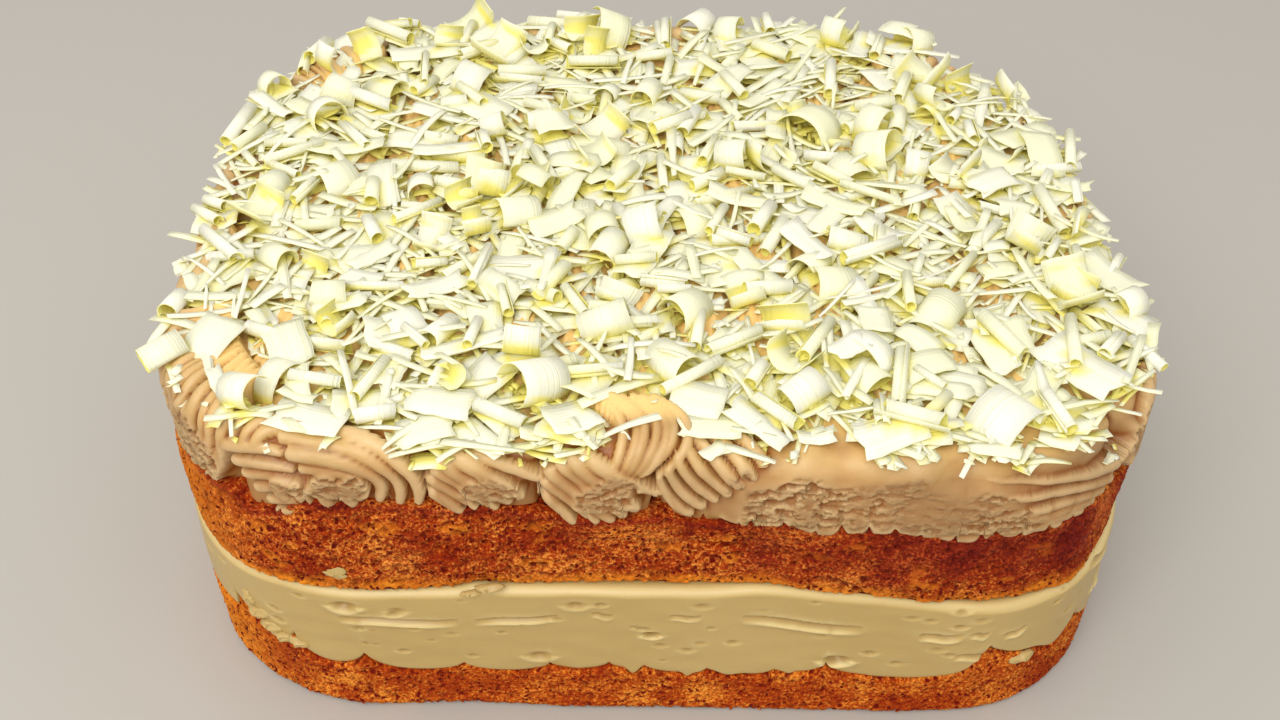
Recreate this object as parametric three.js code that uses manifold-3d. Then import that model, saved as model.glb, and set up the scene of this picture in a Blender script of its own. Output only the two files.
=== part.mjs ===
// A christmas layer cake: two sponge layers with a thick custard cream between them, a border and top of piped
// coffee cream, and a heap of white chocolate shavings. Millimetres, +Z up, the front of the cake faces -Y.
// The origin is on the surface that the cake stands on, under the middle of its outline.
import * as THREE from "three";
import { mergeVertices } from "three/addons/utils/BufferGeometryUtils.js";
import Module from "manifold-3d";

// Outline of the cake, seen from above: the ring it was built in leaves round corners, wider ones at the back,
// and the right side leans in towards the back.
const WIDTH = 250;
const DEPTH = 198;
const CORNER_FRONT = 52;
const CORNER_BACK_LEFT = 69;
const CORNER_BACK_RIGHT = 83;
const RIGHT_TAPER = 0.11;

// Heights of the borders between the layers, at the middle of the cake, and how they fall towards +X.
const CUSTARD_FROM = 18.5;
const SPONGE_FROM = 49.5;
const CREAM_FROM = 73.5;
const CREAM_TO = 92.5;
const SPONGE_FALL = 0.008;
const CREAM_FALL = 0.045;

// Layers rest on each other with this gap, up to this inset, and the side of the sponge is set back a little.
const GAP = 0.3;
const CONTACT_INSET = 1.7;
const SPONGE_INSET = 0.8;

// Columns round the outline. The three lower layers share theirs, so that their wavy borders run side by side.
const LAYER_COLUMNS = 100;
const RIDGES = 92;
const HEAP_COLUMNS = 40;

// The rim is the band of a layer's face, next to its edge, where the scallops of the border die out.
const RIM = 9;

// The heap of shavings leaves bare bands of cream at the front edge and, narrower, at the other edges.
const BARE_FRONT = 11;
const BARE_SIDE = 3;

// Shavings: how many of each kind, in the order they are laid, largest first.
const FLAKES = 40;
const CURLS = 16;
const QUILLS = 24;
const SLIVERS = 30;
const SHAVING_SEED = 20;
const PIPING_SEED = 7;

// A repeatable draw between 0 and 1 (mulberry32).
function seededRandom(seed) {
  let state = seed;
  return () => {
    state = (state + 0x6d2b79f5) | 0;
    let mixed = Math.imul(state ^ (state >>> 15), 1 | state);
    mixed = (mixed + Math.imul(mixed ^ (mixed >>> 7), 61 | mixed)) ^ mixed;
    return ((mixed ^ (mixed >>> 14)) >>> 0) / 4294967296;
  };
}

const between = (random, low, high) => low + (high - low) * random();
const smooth = (share) => share * share * (3 - 2 * share);
const clamp01 = (value) => Math.min(1, Math.max(0, value));

// The outline as one closed path, anticlockwise from the front edge's left end.
function outlinePath() {
  const left = -WIDTH / 2;
  const right = WIDTH / 2;
  const front = -DEPTH / 2;
  const back = DEPTH / 2;
  const quarter = Math.PI / 2;
  const shape = new THREE.Shape();
  shape.moveTo(left + CORNER_FRONT, front);
  shape.lineTo(right - CORNER_FRONT, front);
  shape.absarc(right - CORNER_FRONT, front + CORNER_FRONT, CORNER_FRONT, -quarter, 0);
  shape.lineTo(right, back - CORNER_BACK_RIGHT);
  shape.absarc(right - CORNER_BACK_RIGHT, back - CORNER_BACK_RIGHT, CORNER_BACK_RIGHT, 0, quarter);
  shape.lineTo(left + CORNER_BACK_LEFT, back);
  shape.absarc(left + CORNER_BACK_LEFT, back - CORNER_BACK_LEFT, CORNER_BACK_LEFT, quarter, 2 * quarter);
  shape.lineTo(left, front + CORNER_FRONT);
  shape.absarc(left + CORNER_FRONT, front + CORNER_FRONT, CORNER_FRONT, 2 * quarter, 3 * quarter);
  return shape;
}

const path = outlinePath();
const PERIMETER = path.getLength();

// The right side leans in: x shrinks with the distance from the front edge.
function lean(x, y) {
  const share = (y + DEPTH / 2) / DEPTH;
  return x > 0 ? x * (1 - RIGHT_TAPER * share) : x;
}

// A point a given distance inside the outline, at a share of the way round.
function outlinePoint(share, inset) {
  const turn = share - Math.floor(share);
  const point = path.getPointAt(turn);
  const along = path.getTangentAt(turn);
  const x = point.x - along.y * inset;
  const y = point.y + along.x * inset;
  return { x: lean(x, y), y };
}

// Sum of sines round the outline: each term is how many turns, how deep in mm, and where it starts.
const waves = (share, terms) =>
  terms.reduce((sum, [turns, depth, start]) => sum + depth * Math.sin(2 * Math.PI * (turns * share + start)), 0);

// Cuts the way round the outline into pieces of uneven width, first the given widths and then drawn ones.
function uneven(widths, low, high, random) {
  const ends = [];
  let at = 0;
  while (at < PERIMETER) {
    at += widths.length > ends.length ? widths[ends.length] : between(random, low, high);
    ends.push(at);
  }
  const scale = PERIMETER / at;
  return ends.map((end, i) => ({ from: (i ? ends[i - 1] : 0) * scale, to: end * scale }));
}

// The piece that holds a share of the way round, and how far along it that share lies, from 0 to 1.
function pieceAt(pieces, share) {
  const at = (share - Math.floor(share)) * PERIMETER;
  const index = Math.max(0, pieces.findIndex((piece) => at < piece.to));
  const piece = pieces[index];
  return { index, along: (at - piece.from) / (piece.to - piece.from), width: piece.to - piece.from };
}

// The custard's lower edge: blobs pressed against the ring, round below and meeting in cusps.
const BLOB_SAG = 4.2;
const CUSP_RISE = 1.8;
const drips = uneven([31, 17, 36, 24, 19, 44, 13], 13, 46, seededRandom(PIPING_SEED + 1));

function custardLowerEdge(share) {
  const { along, width } = pieceAt(drips, share);
  const belly = Math.sqrt(clamp01(1 - (2 * along - 1) ** 2));
  return CUSP_RISE - BLOB_SAG * belly * (0.6 + 0.4 * clamp01(width / 40));
}

const custardUpperEdge = (share) => waves(share, [[3, 0.5, 0.1], [7, 0.35, 0.6], [13, 0.2, 0.3]]);

// Heights of the three borders. The scallops only reach across the rim.
const rimShare = (inset) => clamp01(1 - inset / RIM);
const custardBottom = (x, share, inset) => CUSTARD_FROM + custardLowerEdge(share) * rimShare(inset);
const custardTop = (x, share, inset) => SPONGE_FROM - SPONGE_FALL * x + custardUpperEdge(share) * rimShare(inset);
const spongeTop = (x) => CREAM_FROM - CREAM_FALL * x;

// Turns a lathed profile into a layer. Each row of the profile gives the inset from the outline and the height
// of the surface there, and a row without an inset lies at the middle. Neighbouring layers run round the cake in
// opposite ways, so that their faces are split along the same diagonals and stay side by side.
function lathed(rows, columns, { closed = false, backwards = false } = {}) {
  const profile = rows.map((row, i) => new THREE.Vector2(row.middle ? 0 : 1, i));
  if (closed) profile.push(profile[0].clone());
  const geometry = new THREE.LatheGeometry(profile, columns);
  const position = geometry.getAttribute("position");
  for (let column = 0; column <= columns; column++) {
    const step = column % columns;
    const share = (backwards ? columns - step : step) / columns;
    for (let at = 0; at < profile.length; at++) {
      const row = rows[at % rows.length];
      const { x, y, z } = row.middle ? { x: 0, y: 0, z: row.height(0, 0) } : placeRow(row, share, step);
      position.setXYZ(column * profile.length + at, x, y, z);
    }
  }
  return geometry;
}

function placeRow(row, share, column) {
  const shifted = share + (row.slide ? row.slide(share) : 0);
  const inset = row.inset(shifted, column);
  const { x, y } = outlinePoint(shifted, inset);
  return { x, y, z: row.height(x, shifted, inset, column) };
}

const fixed = (value) => () => value;

// The lower sponge: a flat foot with a crumbly round edge, an uneven side, and a top that takes the custard.
function lowerSponge() {
  const side = (share) => SPONGE_INSET + waves(share, [[5, 0.35, 0.2], [11, 0.25, 0.7]]);
  const top = (x, share, inset) => custardBottom(x, share, inset) - GAP;
  return lathed(
    [
      { middle: true, height: fixed(0) },
      { inset: (share) => side(share) + 2.4, height: fixed(0) },
      { inset: (share) => side(share) - 0.2, height: fixed(2.4) },
      { inset: side, height: fixed(9) },
      { inset: fixed(CONTACT_INSET), height: top },
      { inset: fixed(RIM), height: top },
      { middle: true, height: (x) => top(x, 0, RIM) },
    ],
    LAYER_COLUMNS,
  );
}

// The custard cream: a smooth moulded face, a little proud of the sponge, with rounded edges.
function custard() {
  const belly = (share) => waves(share, [[4, 0.3, 0.4], [9, 0.2, 0.1]]);
  return lathed(
    [
      { middle: true, height: (x) => custardBottom(x, 0, RIM) },
      { inset: fixed(RIM), height: custardBottom },
      { inset: fixed(CONTACT_INSET), height: custardBottom },
      { inset: fixed(0.2), height: (x, share) => custardBottom(x, share, 0) + 2 },
      { inset: (share) => 0.1 + belly(share), height: fixed((CUSTARD_FROM + SPONGE_FROM) / 2) },
      { inset: fixed(0.1), height: (x, share) => custardTop(x, share, 0) - 1.8 },
      { inset: fixed(CONTACT_INSET), height: custardTop },
      { inset: fixed(RIM), height: custardTop },
      { middle: true, height: (x) => custardTop(x, 0, RIM) },
    ],
    LAYER_COLUMNS,
    { backwards: true },
  );
}

// The upper sponge: its side is a baked crust that pulls in a little above the middle.
function upperSponge() {
  const side = (share) => SPONGE_INSET + waves(share, [[4, 0.4, 0.9], [10, 0.3, 0.3]]);
  const bottom = (x, share, inset) => custardTop(x, share, inset) + GAP;
  return lathed(
    [
      { middle: true, height: (x) => bottom(x, 0, RIM) },
      { inset: fixed(RIM), height: bottom },
      { inset: fixed(CONTACT_INSET), height: bottom },
      { inset: side, height: (x, share, inset) => bottom(x, share, inset) + 4 },
      { inset: (share) => side(share) + 0.4, height: (x) => spongeTop(x) - 3 },
      { inset: (share) => side(share) + 1.6, height: spongeTop },
      { middle: true, height: spongeTop },
    ],
    LAYER_COLUMNS,
  );
}

// The piped border: blobs of cream pushed against the ring. The first widths are the blobs of the front.
const FRONT_BLOBS = [24, 27, 30, 108];
const blobs = uneven(FRONT_BLOBS, 27, 58, seededRandom(PIPING_SEED));
const CUSP_DEPTH = 5.5;
const RIDGE_DEPTH = 1.7;
const LEAN_SPAN = 9;

// How full a blob stands at a share of the way round: 0 in the cusp between two blobs, 1 over its middle.
function fullness(share) {
  const { along, width } = pieceAt(blobs, share);
  const shoulder = clamp01((Math.min(along, 1 - along) * width) / 11);
  return Math.sqrt(clamp01(1 - (1 - shoulder) ** 2));
}

// The nozzle's ridges lean over as they rise, each blob in its own direction.
function ridgeSlide(share, rise) {
  const { index, along } = pieceAt(blobs, share);
  const direction = index % 3 === 1 ? -0.5 : 1;
  return (direction * LEAN_SPAN * rise * Math.sin(Math.PI * along)) / PERIMETER;
}

// Ridge crests are the even columns and the grooves the odd ones. A blob that was pressed flat has shallow grooves.
function groove(share, column) {
  const { along, width } = pieceAt(blobs, share);
  const fromEnd = Math.min(along, 1 - along) * width;
  const pressed = smooth(clamp01((fromEnd - 12) / 16));
  return column % 2 ? RIDGE_DEPTH * (1 - 0.75 * pressed) : 0;
}

function pipedBorder() {
  const base = (x) => spongeTop(x) + GAP;
  const recess = (share) => (1 - fullness(share)) * CUSP_DEPTH;
  const top = (share) => CREAM_TO - 1.5 + 2 * fullness(share);
  const ridged = (inset, drop, rise) => ({
    slide: (share) => ridgeSlide(share, rise),
    inset: (share, column) => inset + recess(share) + groove(share, column),
    height: (x, share, at, column) => top(share) - drop - 0.5 * groove(share, column),
  });
  return lathed(
    [
      { inset: fixed(13), height: base },
      { inset: (share, column) => 3.2 + recess(share) + 0.6 * groove(share, column), height: base },
      {
        inset: (share, column) => 0.6 + recess(share) + groove(share, column),
        height: (x, share, inset, column) => base(x) + 1.6 + 0.7 * groove(share, column),
      },
      { ...ridged(0.2, 0, 0.35), height: (x) => (base(x) + CREAM_TO) / 2 - 1 },
      ridged(1.2, 4.4, 0.6),
      ridged(4.4, 1.2, 0.85),
      { inset: (share) => 10 + recess(share), height: (x, share) => top(share) - 0.4 },
    ],
    2 * RIDGES,
    { closed: true },
  );
}

// How far in the heap of shavings starts: clear of the front shoulder, and close to the edge elsewhere.
function heapEdge(share) {
  const fromFront = outlinePoint(share, 0).y + DEPTH / 2;
  return BARE_FRONT + (BARE_SIDE - BARE_FRONT) * smooth(clamp01((fromFront - 8) / 36));
}

// The cream inside the border, and the closed inner part of the heap of shavings that lies on it.
function heapCore() {
  const base = (x) => spongeTop(x) + GAP;
  return lathed(
    [
      { middle: true, height: base },
      { inset: fixed(11), height: base },
      { inset: (share) => heapEdge(share) + 1, height: fixed(CREAM_TO - 4) },
      { inset: (share) => heapEdge(share) + 4, height: (x, share) => CREAM_TO + 2.4 + waves(share, [[9, 0.5, 0]]) },
      { inset: fixed(44), height: (x, share) => CREAM_TO + 4 + waves(share, [[7, 1.1, 0.4]]) },
      { middle: true, height: fixed(CREAM_TO + 4) },
    ],
    HEAP_COLUMNS,
  );
}

// A shaving is a thin bent plate: an arc of the given radius, bent round X and as long as it is cut along X.
function shaving({ length, width, radius, thick, steps }) {
  const sweep = Math.min(width / radius, 1.75 * Math.PI);
  const section = new THREE.Shape();
  for (let i = 0; i <= steps; i++) {
    const angle = Math.PI / 2 - sweep / 2 + (sweep * i) / steps;
    const out = [radius * Math.cos(angle), radius * Math.sin(angle)];
    if (i) section.lineTo(...out);
    else section.moveTo(...out);
  }
  for (let i = steps; i >= 0; i--) {
    const angle = Math.PI / 2 - sweep / 2 + (sweep * i) / steps;
    section.lineTo((radius - thick) * Math.cos(angle), (radius - thick) * Math.sin(angle));
  }
  const geometry = new THREE.ExtrudeGeometry(section, { depth: length, bevelEnabled: false, steps: 1 });
  // The section is in X and Y and the length along Z: stand its arc up and lay its length along X.
  geometry.translate(0, -(sweep < Math.PI ? radius : 0), -length / 2);
  geometry.rotateX(Math.PI / 2);
  geometry.rotateZ(Math.PI / 2);
  return geometry;
}

// A quill is rolled so tight that it reads as a solid rod with six sides.
function quill({ length, radius }) {
  return new THREE.CylinderGeometry(radius, 0.85 * radius, length, 6).rotateZ(Math.PI / 2);
}

// The kinds of shaving, with the sizes that show in the heap. Rise is how high a piece's middle lies on the
// cream, and tilt how far its length may tip.
const KINDS = [
  {
    count: FLAKES,
    rise: 1.4,
    tilt: 0.2,
    make: (draw) => shaving({ length: draw(15, 27), width: draw(8, 14), radius: draw(10, 22), thick: 1.2, steps: 2 }),
  },
  {
    count: CURLS,
    rise: 1.6,
    tilt: 0.2,
    make: (draw) => shaving({ length: draw(10, 17), width: draw(16, 24), radius: draw(4.4, 6.4), thick: 1, steps: 5 }),
  },
  { count: QUILLS, rise: 1.3, tilt: 0.18, make: (draw) => quill({ length: draw(18, 30), radius: draw(2, 3.2) }) },
  {
    count: SLIVERS,
    rise: 0.4,
    tilt: 0.3,
    make: (draw) => shaving({ length: draw(14, 26), width: draw(2.4, 4.4), radius: 6, thick: 1.2, steps: 1 }),
  },
];

// How much of the cream's slope is taken out again before a piece is laid along it.
const FLATTEN = 0.75;

// True where a shaving may lie: inside the outline, and back from the front edge.
function covered(x, y, ring) {
  if (y < -DEPTH / 2 + BARE_FRONT) return false;
  let inside = false;
  ring.forEach((a, i) => {
    const b = ring[(i + 1) % ring.length];
    if (a.y > y !== b.y > y && x < ((b.x - a.x) * (y - a.y)) / (b.y - a.y) + a.x) inside = !inside;
  });
  return inside;
}

// Spots for the shavings: a low-discrepancy walk over the top, so that every part gets its share.
const OVERHANG_INSET = 6;

function spotWalk() {
  const ring = Array.from({ length: 90 }, (_, i) => outlinePoint(i / 90, OVERHANG_INSET));
  const stepX = 0.7548776662;
  const stepY = 0.5698402909;
  let n = 0;
  return () => {
    for (;;) {
      n += 1;
      const x = (((0.5 + n * stepX) % 1) - 0.5) * WIDTH;
      const y = (((0.5 + n * stepY) % 1) - 0.5) * DEPTH;
      if (covered(x, y, ring)) return { x, y };
    }
  };
}

const wasm = await Module();
wasm.setup();

// A closed three.js geometry as a solid that can be joined.
function solidOf(geometry) {
  const bare = geometry.index ? geometry.toNonIndexed() : geometry.clone();
  bare.deleteAttribute("normal");
  bare.deleteAttribute("uv");
  const merged = mergeVertices(bare, 1e-4);
  const index = merged.index.array;
  const kept = [];
  for (let i = 0; i < index.length; i += 3) {
    const [a, b, c] = index.slice(i, i + 3);
    if (a !== b && b !== c && c !== a) kept.push(a, b, c);
  }
  const solid = new wasm.Manifold(
    new wasm.Mesh({
      numProp: 3,
      vertProperties: merged.getAttribute("position").array,
      triVerts: new Uint32Array(kept),
    }),
  );
  return solid.volume() < 0 ? solidOf(flipped(merged)) : solid;
}

// The same geometry with every face turned round.
function flipped(geometry) {
  const turned = geometry.clone();
  const index = turned.index.array;
  for (let i = 0; i < index.length; i += 3) [index[i], index[i + 1]] = [index[i + 1], index[i]];
  return turned;
}

function geometryOf(solid) {
  const mesh = solid.getMesh();
  const geometry = new THREE.BufferGeometry();
  geometry.setAttribute("position", new THREE.BufferAttribute(new Float32Array(mesh.vertProperties), 3));
  geometry.setIndex(new THREE.BufferAttribute(new Uint32Array(mesh.triVerts), 1));
  geometry.computeVertexNormals();
  return geometry;
}

// Lays every shaving on the cream, along its slope, and joins it to the core.
function layShavings(core) {
  const random = seededRandom(SHAVING_SEED);
  const draw = (low, high) => between(random, low, high);
  const surface = new THREE.Mesh(geometryOf(core));
  const ray = new THREE.Raycaster();
  const down = new THREE.Vector3(0, 0, -1);
  const nextSpot = spotWalk();
  const nextHit = () => {
    for (;;) {
      const { x, y } = nextSpot();
      ray.set(new THREE.Vector3(x, y, 2 * CREAM_TO), down);
      const [hit] = ray.intersectObject(surface);
      if (hit) return hit;
    }
  };
  let heap = core;
  for (const kind of KINDS) {
    for (let i = 0; i < kind.count; i++) {
      const hit = nextHit();
      const piece = kind.make(draw);
      const slope = new THREE.Quaternion().setFromUnitVectors(
        new THREE.Vector3(0, 0, 1),
        hit.face.normal.clone().lerp(new THREE.Vector3(0, 0, 1), FLATTEN).normalize(),
      );
      const turn = new THREE.Euler(draw(-kind.tilt, kind.tilt), draw(-kind.tilt, kind.tilt), draw(0, Math.PI), "ZYX");
      piece.applyQuaternion(slope.multiply(new THREE.Quaternion().setFromEuler(turn)));
      piece.translate(hit.point.x, hit.point.y, hit.point.z + kind.rise);
      heap = heap.add(solidOf(piece));
    }
  }
  return largestBody(heap);
}

// The biggest of the separate bodies that a join leaves, so that no loose scrap stays.
function largestBody(solid) {
  return solid.decompose().reduce((best, body) => (body.volume() > best.volume() ? body : best));
}

function toppedCream() {
  const core = solidOf(pipedBorder()).add(solidOf(heapCore()));
  return geometryOf(layShavings(core));
}

// Closed geometry of a layer, with the lathe's seam and poles merged.
const layerGeometry = (lathe) => geometryOf(solidOf(lathe));

function part(name, geometry, color, roughness) {
  const material = new THREE.MeshStandardMaterial({ color, roughness, metalness: 0 });
  const mesh = new THREE.Mesh(geometry, material);
  mesh.name = name;
  return mesh;
}

const cake = new THREE.Group();
cake.add(part("lower_sponge", layerGeometry(lowerSponge()), "#c9762c", 0.9));
cake.add(part("custard_filling", layerGeometry(custard()), "#ecd9a0", 0.45));
cake.add(part("upper_sponge", layerGeometry(upperSponge()), "#bf6526", 0.9));
cake.add(part("coffee_cream_with_shavings", toppedCream(), "#e0bb8c", 0.5));

export default cake;
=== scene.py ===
import math
from collections import namedtuple

import bpy
import numpy as np
from mathutils import Matrix, Vector, noise
from mathutils.bvhtree import BVHTree


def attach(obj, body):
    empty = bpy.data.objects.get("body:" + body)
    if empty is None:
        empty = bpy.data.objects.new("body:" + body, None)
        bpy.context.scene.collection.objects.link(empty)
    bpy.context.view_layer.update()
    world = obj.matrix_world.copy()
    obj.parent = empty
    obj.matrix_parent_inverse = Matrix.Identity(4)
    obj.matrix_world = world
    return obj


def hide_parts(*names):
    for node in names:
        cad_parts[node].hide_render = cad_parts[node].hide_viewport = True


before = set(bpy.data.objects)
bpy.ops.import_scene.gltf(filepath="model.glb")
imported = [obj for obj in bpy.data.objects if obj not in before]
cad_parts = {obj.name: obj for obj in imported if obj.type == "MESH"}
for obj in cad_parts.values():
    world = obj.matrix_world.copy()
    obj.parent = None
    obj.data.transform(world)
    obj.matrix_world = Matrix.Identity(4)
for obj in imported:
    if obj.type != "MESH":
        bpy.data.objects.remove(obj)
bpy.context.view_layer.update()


# Camera and light. The camera looks down on the front long side from about half a metre away, as the
# photograph does: its lens and stand come from matching the cake's outline and layers to the picture.
IMAGE_WIDTH = 1280
SENSOR_WIDTH = 36.0
FOCAL_PIXELS = 1501.0
CAMERA_STAND = Vector((-0.00185, -0.3329, 0.33055))
CAMERA_PITCH = math.radians(41.517)
CAMERA_YAW = math.radians(-0.665)
CAMERA_ROLL = math.radians(0.37)


def linear(hex_colour):
    """An sRGB hex colour as the linear values that Blender takes."""
    shares = [int(hex_colour[i : i + 2], 16) / 255 for i in (1, 3, 5)]
    return [s / 12.92 if s <= 0.04045 else ((s + 0.055) / 1.055) ** 2.4 for s in shares] + [1.0]


def add(tree, kind, inputs=None, output=0, **settings):
    """Adds a node to a tree with its settings, and its inputs as plain values or as links from the outputs of
    other nodes. Gives one of its own outputs, the first where none is named."""
    node = tree.nodes.new(kind)
    for name, value in settings.items():
        setattr(node, name, value)
    for key, value in (inputs or {}).items():
        if isinstance(value, bpy.types.NodeSocket):
            tree.links.new(value, node.inputs[key])
        else:
            node.inputs[key].default_value = value
    return node.outputs[output] if node.outputs else None


def material(name):
    """A new material with an empty node tree, and the tree."""
    made = bpy.data.materials.new(name)
    made.use_nodes = True
    made.node_tree.nodes.clear()
    return made, made.node_tree


camera_data = bpy.data.cameras.new("camera")
camera_data.sensor_width = SENSOR_WIDTH
camera_data.lens = SENSOR_WIDTH * FOCAL_PIXELS / IMAGE_WIDTH
camera_data.clip_start = 0.01
camera = bpy.data.objects.new("camera", camera_data)
bpy.context.scene.collection.objects.link(camera)
looks = Matrix.Rotation(-CAMERA_YAW, 3, "Z") @ Matrix.Rotation(math.pi / 2 - CAMERA_PITCH, 3, "X")
looks = looks @ Matrix.Rotation(CAMERA_ROLL, 3, "Z")
camera.matrix_world = Matrix.Translation(CAMERA_STAND) @ looks.to_4x4()
bpy.context.scene.camera = camera


def softbox(name, place, aim, size, watts, colour):
    """A square area light that points at a spot."""
    data = bpy.data.lights.new(name, "AREA")
    data.size = size
    data.energy = watts
    data.color = linear(colour)[:3]
    light = bpy.data.objects.new(name, data)
    light.location = place
    light.rotation_euler = (Vector(aim) - Vector(place)).to_track_quat("-Z", "Y").to_euler()
    bpy.context.scene.collection.objects.link(light)


softbox("overhead_softbox", (-0.25, -0.22, 0.95), (0, 0, 0.08), 1.0, 2.0, "#fffaf2")
softbox("front_softbox", (-0.26, -0.8, 0.9), (0, 0, 0.06), 0.7, 8.6, "#fffaf2")

world = bpy.data.worlds.new("soft_daylight")
world.use_nodes = True
world.node_tree.nodes.clear()
daylight = add(world.node_tree, "ShaderNodeBackground", {"Color": linear("#fbf8f2"), "Strength": 0.88})
add(world.node_tree, "ShaderNodeOutputWorld", {"Surface": daylight})
bpy.context.scene.world = world
bpy.context.scene.view_settings.view_transform = "Standard"

# The floor is plain, pale and matt, and lies a hair below the cake.
FLOOR_HALF = 3.0
FLOOR_DROP = -0.0004
floor_paint, tree = material("pale_matt_paint")
paint = add(tree, "ShaderNodeBsdfPrincipled", {"Base Color": linear("#aeaba6"), "Roughness": 0.7})
add(tree, "ShaderNodeOutputMaterial", {"Surface": paint})
floor_mesh = bpy.data.meshes.new("floor")
corners = [(x * FLOOR_HALF, y * FLOOR_HALF, FLOOR_DROP) for x, y in [(-1, -1), (1, -1), (1, 1), (-1, 1)]]
floor_mesh.from_pydata(corners, [], [(0, 1, 2, 3)])
floor_mesh.materials.append(floor_paint)
floor = bpy.data.objects.new("floor", floor_mesh)
bpy.context.scene.collection.objects.link(floor)


# Lower sponge: a slice of egg sponge, baked in a sheet and cut to the ring that the cake was built in, so
# its side shows open crumb. It carries the whole cake. From here on lengths are millimetres until a mesh is
# made, and places along the ring are measured anticlockwise from the left end of its front edge.
RING_WIDTH = 250.0
RING_DEPTH = 198.0
RING_CORNERS = {"front": 52.0, "back_right": 83.0, "back_left": 69.0}
RIGHT_TAPER = 0.11
CUSTARD_FROM = 18.5
# The tops and undersides of the layers are flat this far in from the ring.
RIM = 9.0
GAP = 0.3
SPONGE_INSET = 0.9
FOOT_DEPTH = 0.9
FOOT_HEIGHT = 2.5
COLUMNS = 1300
LOWER_ROWS = 38
# The custard's lower edge: the blobs it was piped in are pressed round against the ring and meet in cusps.
# Each cusp is a place along the ring and a height above the edge's mean. They fit the photograph's front.
FRONT_DRIPS = [(-40, 3.0), (-20, 5.2), (-1, 4.5), (24, 1.0), (46, 1.0), (61, 1.2), (70, 0.6), (86, -0.4)]
FRONT_DRIPS += [(103, -0.2), (116, 3.2), (157, 5.6), (186, 9.5)]
DRIP_WIDTHS = (15, 52)
BELLY_DEPTH = 4.8
# Narrow drips that hang from it: place along the ring, length and width.
FRONT_SPIKES = [(67.2, 2.6, 1.6), (81, 1.6, 1.2), (-27, 1.8, 2.0), (-33, 1.5, 1.5), (107, 1.2, 1.5)]
# Stretches where the edge as a whole lies higher: place along the ring, half the length, and how much.
EDGE_LIFTS = [(-48, 26, 8.0), (165, 11, 6.0)]
# The front left corner, where both sponges are baked paler.
PALE_CORNER = [(-68, 36, 1.0)]


def ring_path(step=0.05):
    """Points along the ring's outline, their headings, and the length of the way to each."""
    right, back = RING_WIDTH / 2, RING_DEPTH / 2
    arcs = [
        (right, -back, "front", -90),
        (right, back, "back_right", 0),
        (-right, back, "back_left", 90),
        (-right, -back, "front", 180),
    ]
    points, headings = [], []
    at = np.array([-right + RING_CORNERS["front"], -back])
    for corner_x, corner_y, corner, from_degrees in arcs:
        radius = RING_CORNERS[corner]
        centre = [corner_x - math.copysign(radius, corner_x), corner_y - math.copysign(radius, corner_y)]
        angles = np.radians(from_degrees + np.linspace(0, 90, int(radius * math.pi / 2 / step)))
        arc = np.array(centre) + radius * np.stack([np.cos(angles), np.sin(angles)], 1)
        straight = max(2, int(np.hypot(*(arc[0] - at)) / step))
        shares = np.linspace(0, 1, straight, endpoint=False)[:, None]
        points += [at + (arc[0] - at) * shares, arc[:-1]]
        headings += [np.full(straight, angles[0] + math.pi / 2), angles[:-1] + math.pi / 2]
        at = arc[-1]
    points = np.vstack(points)
    steps = np.hypot(*np.diff(np.vstack([points, points[:1]]), axis=0).T)
    return points, np.concatenate(headings), np.concatenate([[0], np.cumsum(steps)])


path_points, path_headings, path_lengths = ring_path()
PERIMETER = path_lengths[-1]


def ring(distance, inset):
    """The x and y of points at distances along the ring's outline and insets from it."""
    at = np.mod(distance, PERIMETER)
    x = np.interp(at, path_lengths, np.append(path_points[:, 0], path_points[0, 0]))
    y = np.interp(at, path_lengths, np.append(path_points[:, 1], path_points[0, 1]))
    heading = np.interp(at, path_lengths, np.append(path_headings, path_headings[0] + 2 * math.pi))
    x = x - np.sin(heading) * inset
    y = y + np.cos(heading) * inset
    lean = 1 - RIGHT_TAPER * (y + RING_DEPTH / 2) / RING_DEPTH
    return np.where(x > 0, x * lean, x), y


def around_of(distance, middle=0.0):
    """A distance along the ring as the shortest way from a place on it."""
    return np.mod(distance - middle + PERIMETER / 2, PERIMETER) - PERIMETER / 2


def rises(distance, places):
    """The sum of flat-topped rises: for each, its place along the ring, half its length, and its height."""
    return sum(high * np.exp(-((around_of(distance, at) / half) ** 4)) for at, half, high in places)


def lumps(points, size, seed):
    """Smooth noise from about -1 to 1 at points in millimetres, with bumps of the given size."""
    shift = Vector((seed * 7.31, seed * 3.77, seed * 5.13))
    return np.array([noise.noise(Vector(p) / size + shift) for p in points])


def drip_edge(distance):
    """Height of the custard's lower edge above or below its mean: bellies that hang between cusps."""
    random = np.random.default_rng(5)
    cusps = list(FRONT_DRIPS)
    while cusps[-1][0] < PERIMETER - 75:
        cusps.append((cusps[-1][0] + random.uniform(*DRIP_WIDTHS), random.uniform(-0.5, 2.5)))
    places = np.array([c[0] for c in cusps] + [PERIMETER + cusps[0][0]])
    heights = np.array([c[1] for c in cusps] + [cusps[0][1]])
    at = np.mod(distance - places[0], PERIMETER) + places[0]
    index = np.clip(np.searchsorted(places, at, side="right") - 1, 0, len(places) - 2)
    width = places[index + 1] - places[index]
    along = (at - places[index]) / width
    belly = np.sqrt(np.clip(1 - (2 * along - 1) ** 2, 0, 1))
    spikes = sum(deep * np.exp(-((around_of(distance, at) / wide) ** 2)) for at, deep, wide in FRONT_SPIKES)
    ragged = 0.45 * np.sin(distance / 1.9 + 2 * np.sin(distance / 7.1)) * np.sin(distance / 11.3) ** 2
    rise = heights[index] * (1 - along) + heights[index + 1] * along - 0.8 - spikes + ragged
    depth = BELLY_DEPTH * np.clip(width / 30, 0.35, 1) + np.clip(rise, 0, 9) * 0.8
    return rises(distance, EDGE_LIFTS) + rise - depth * belly


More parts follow.
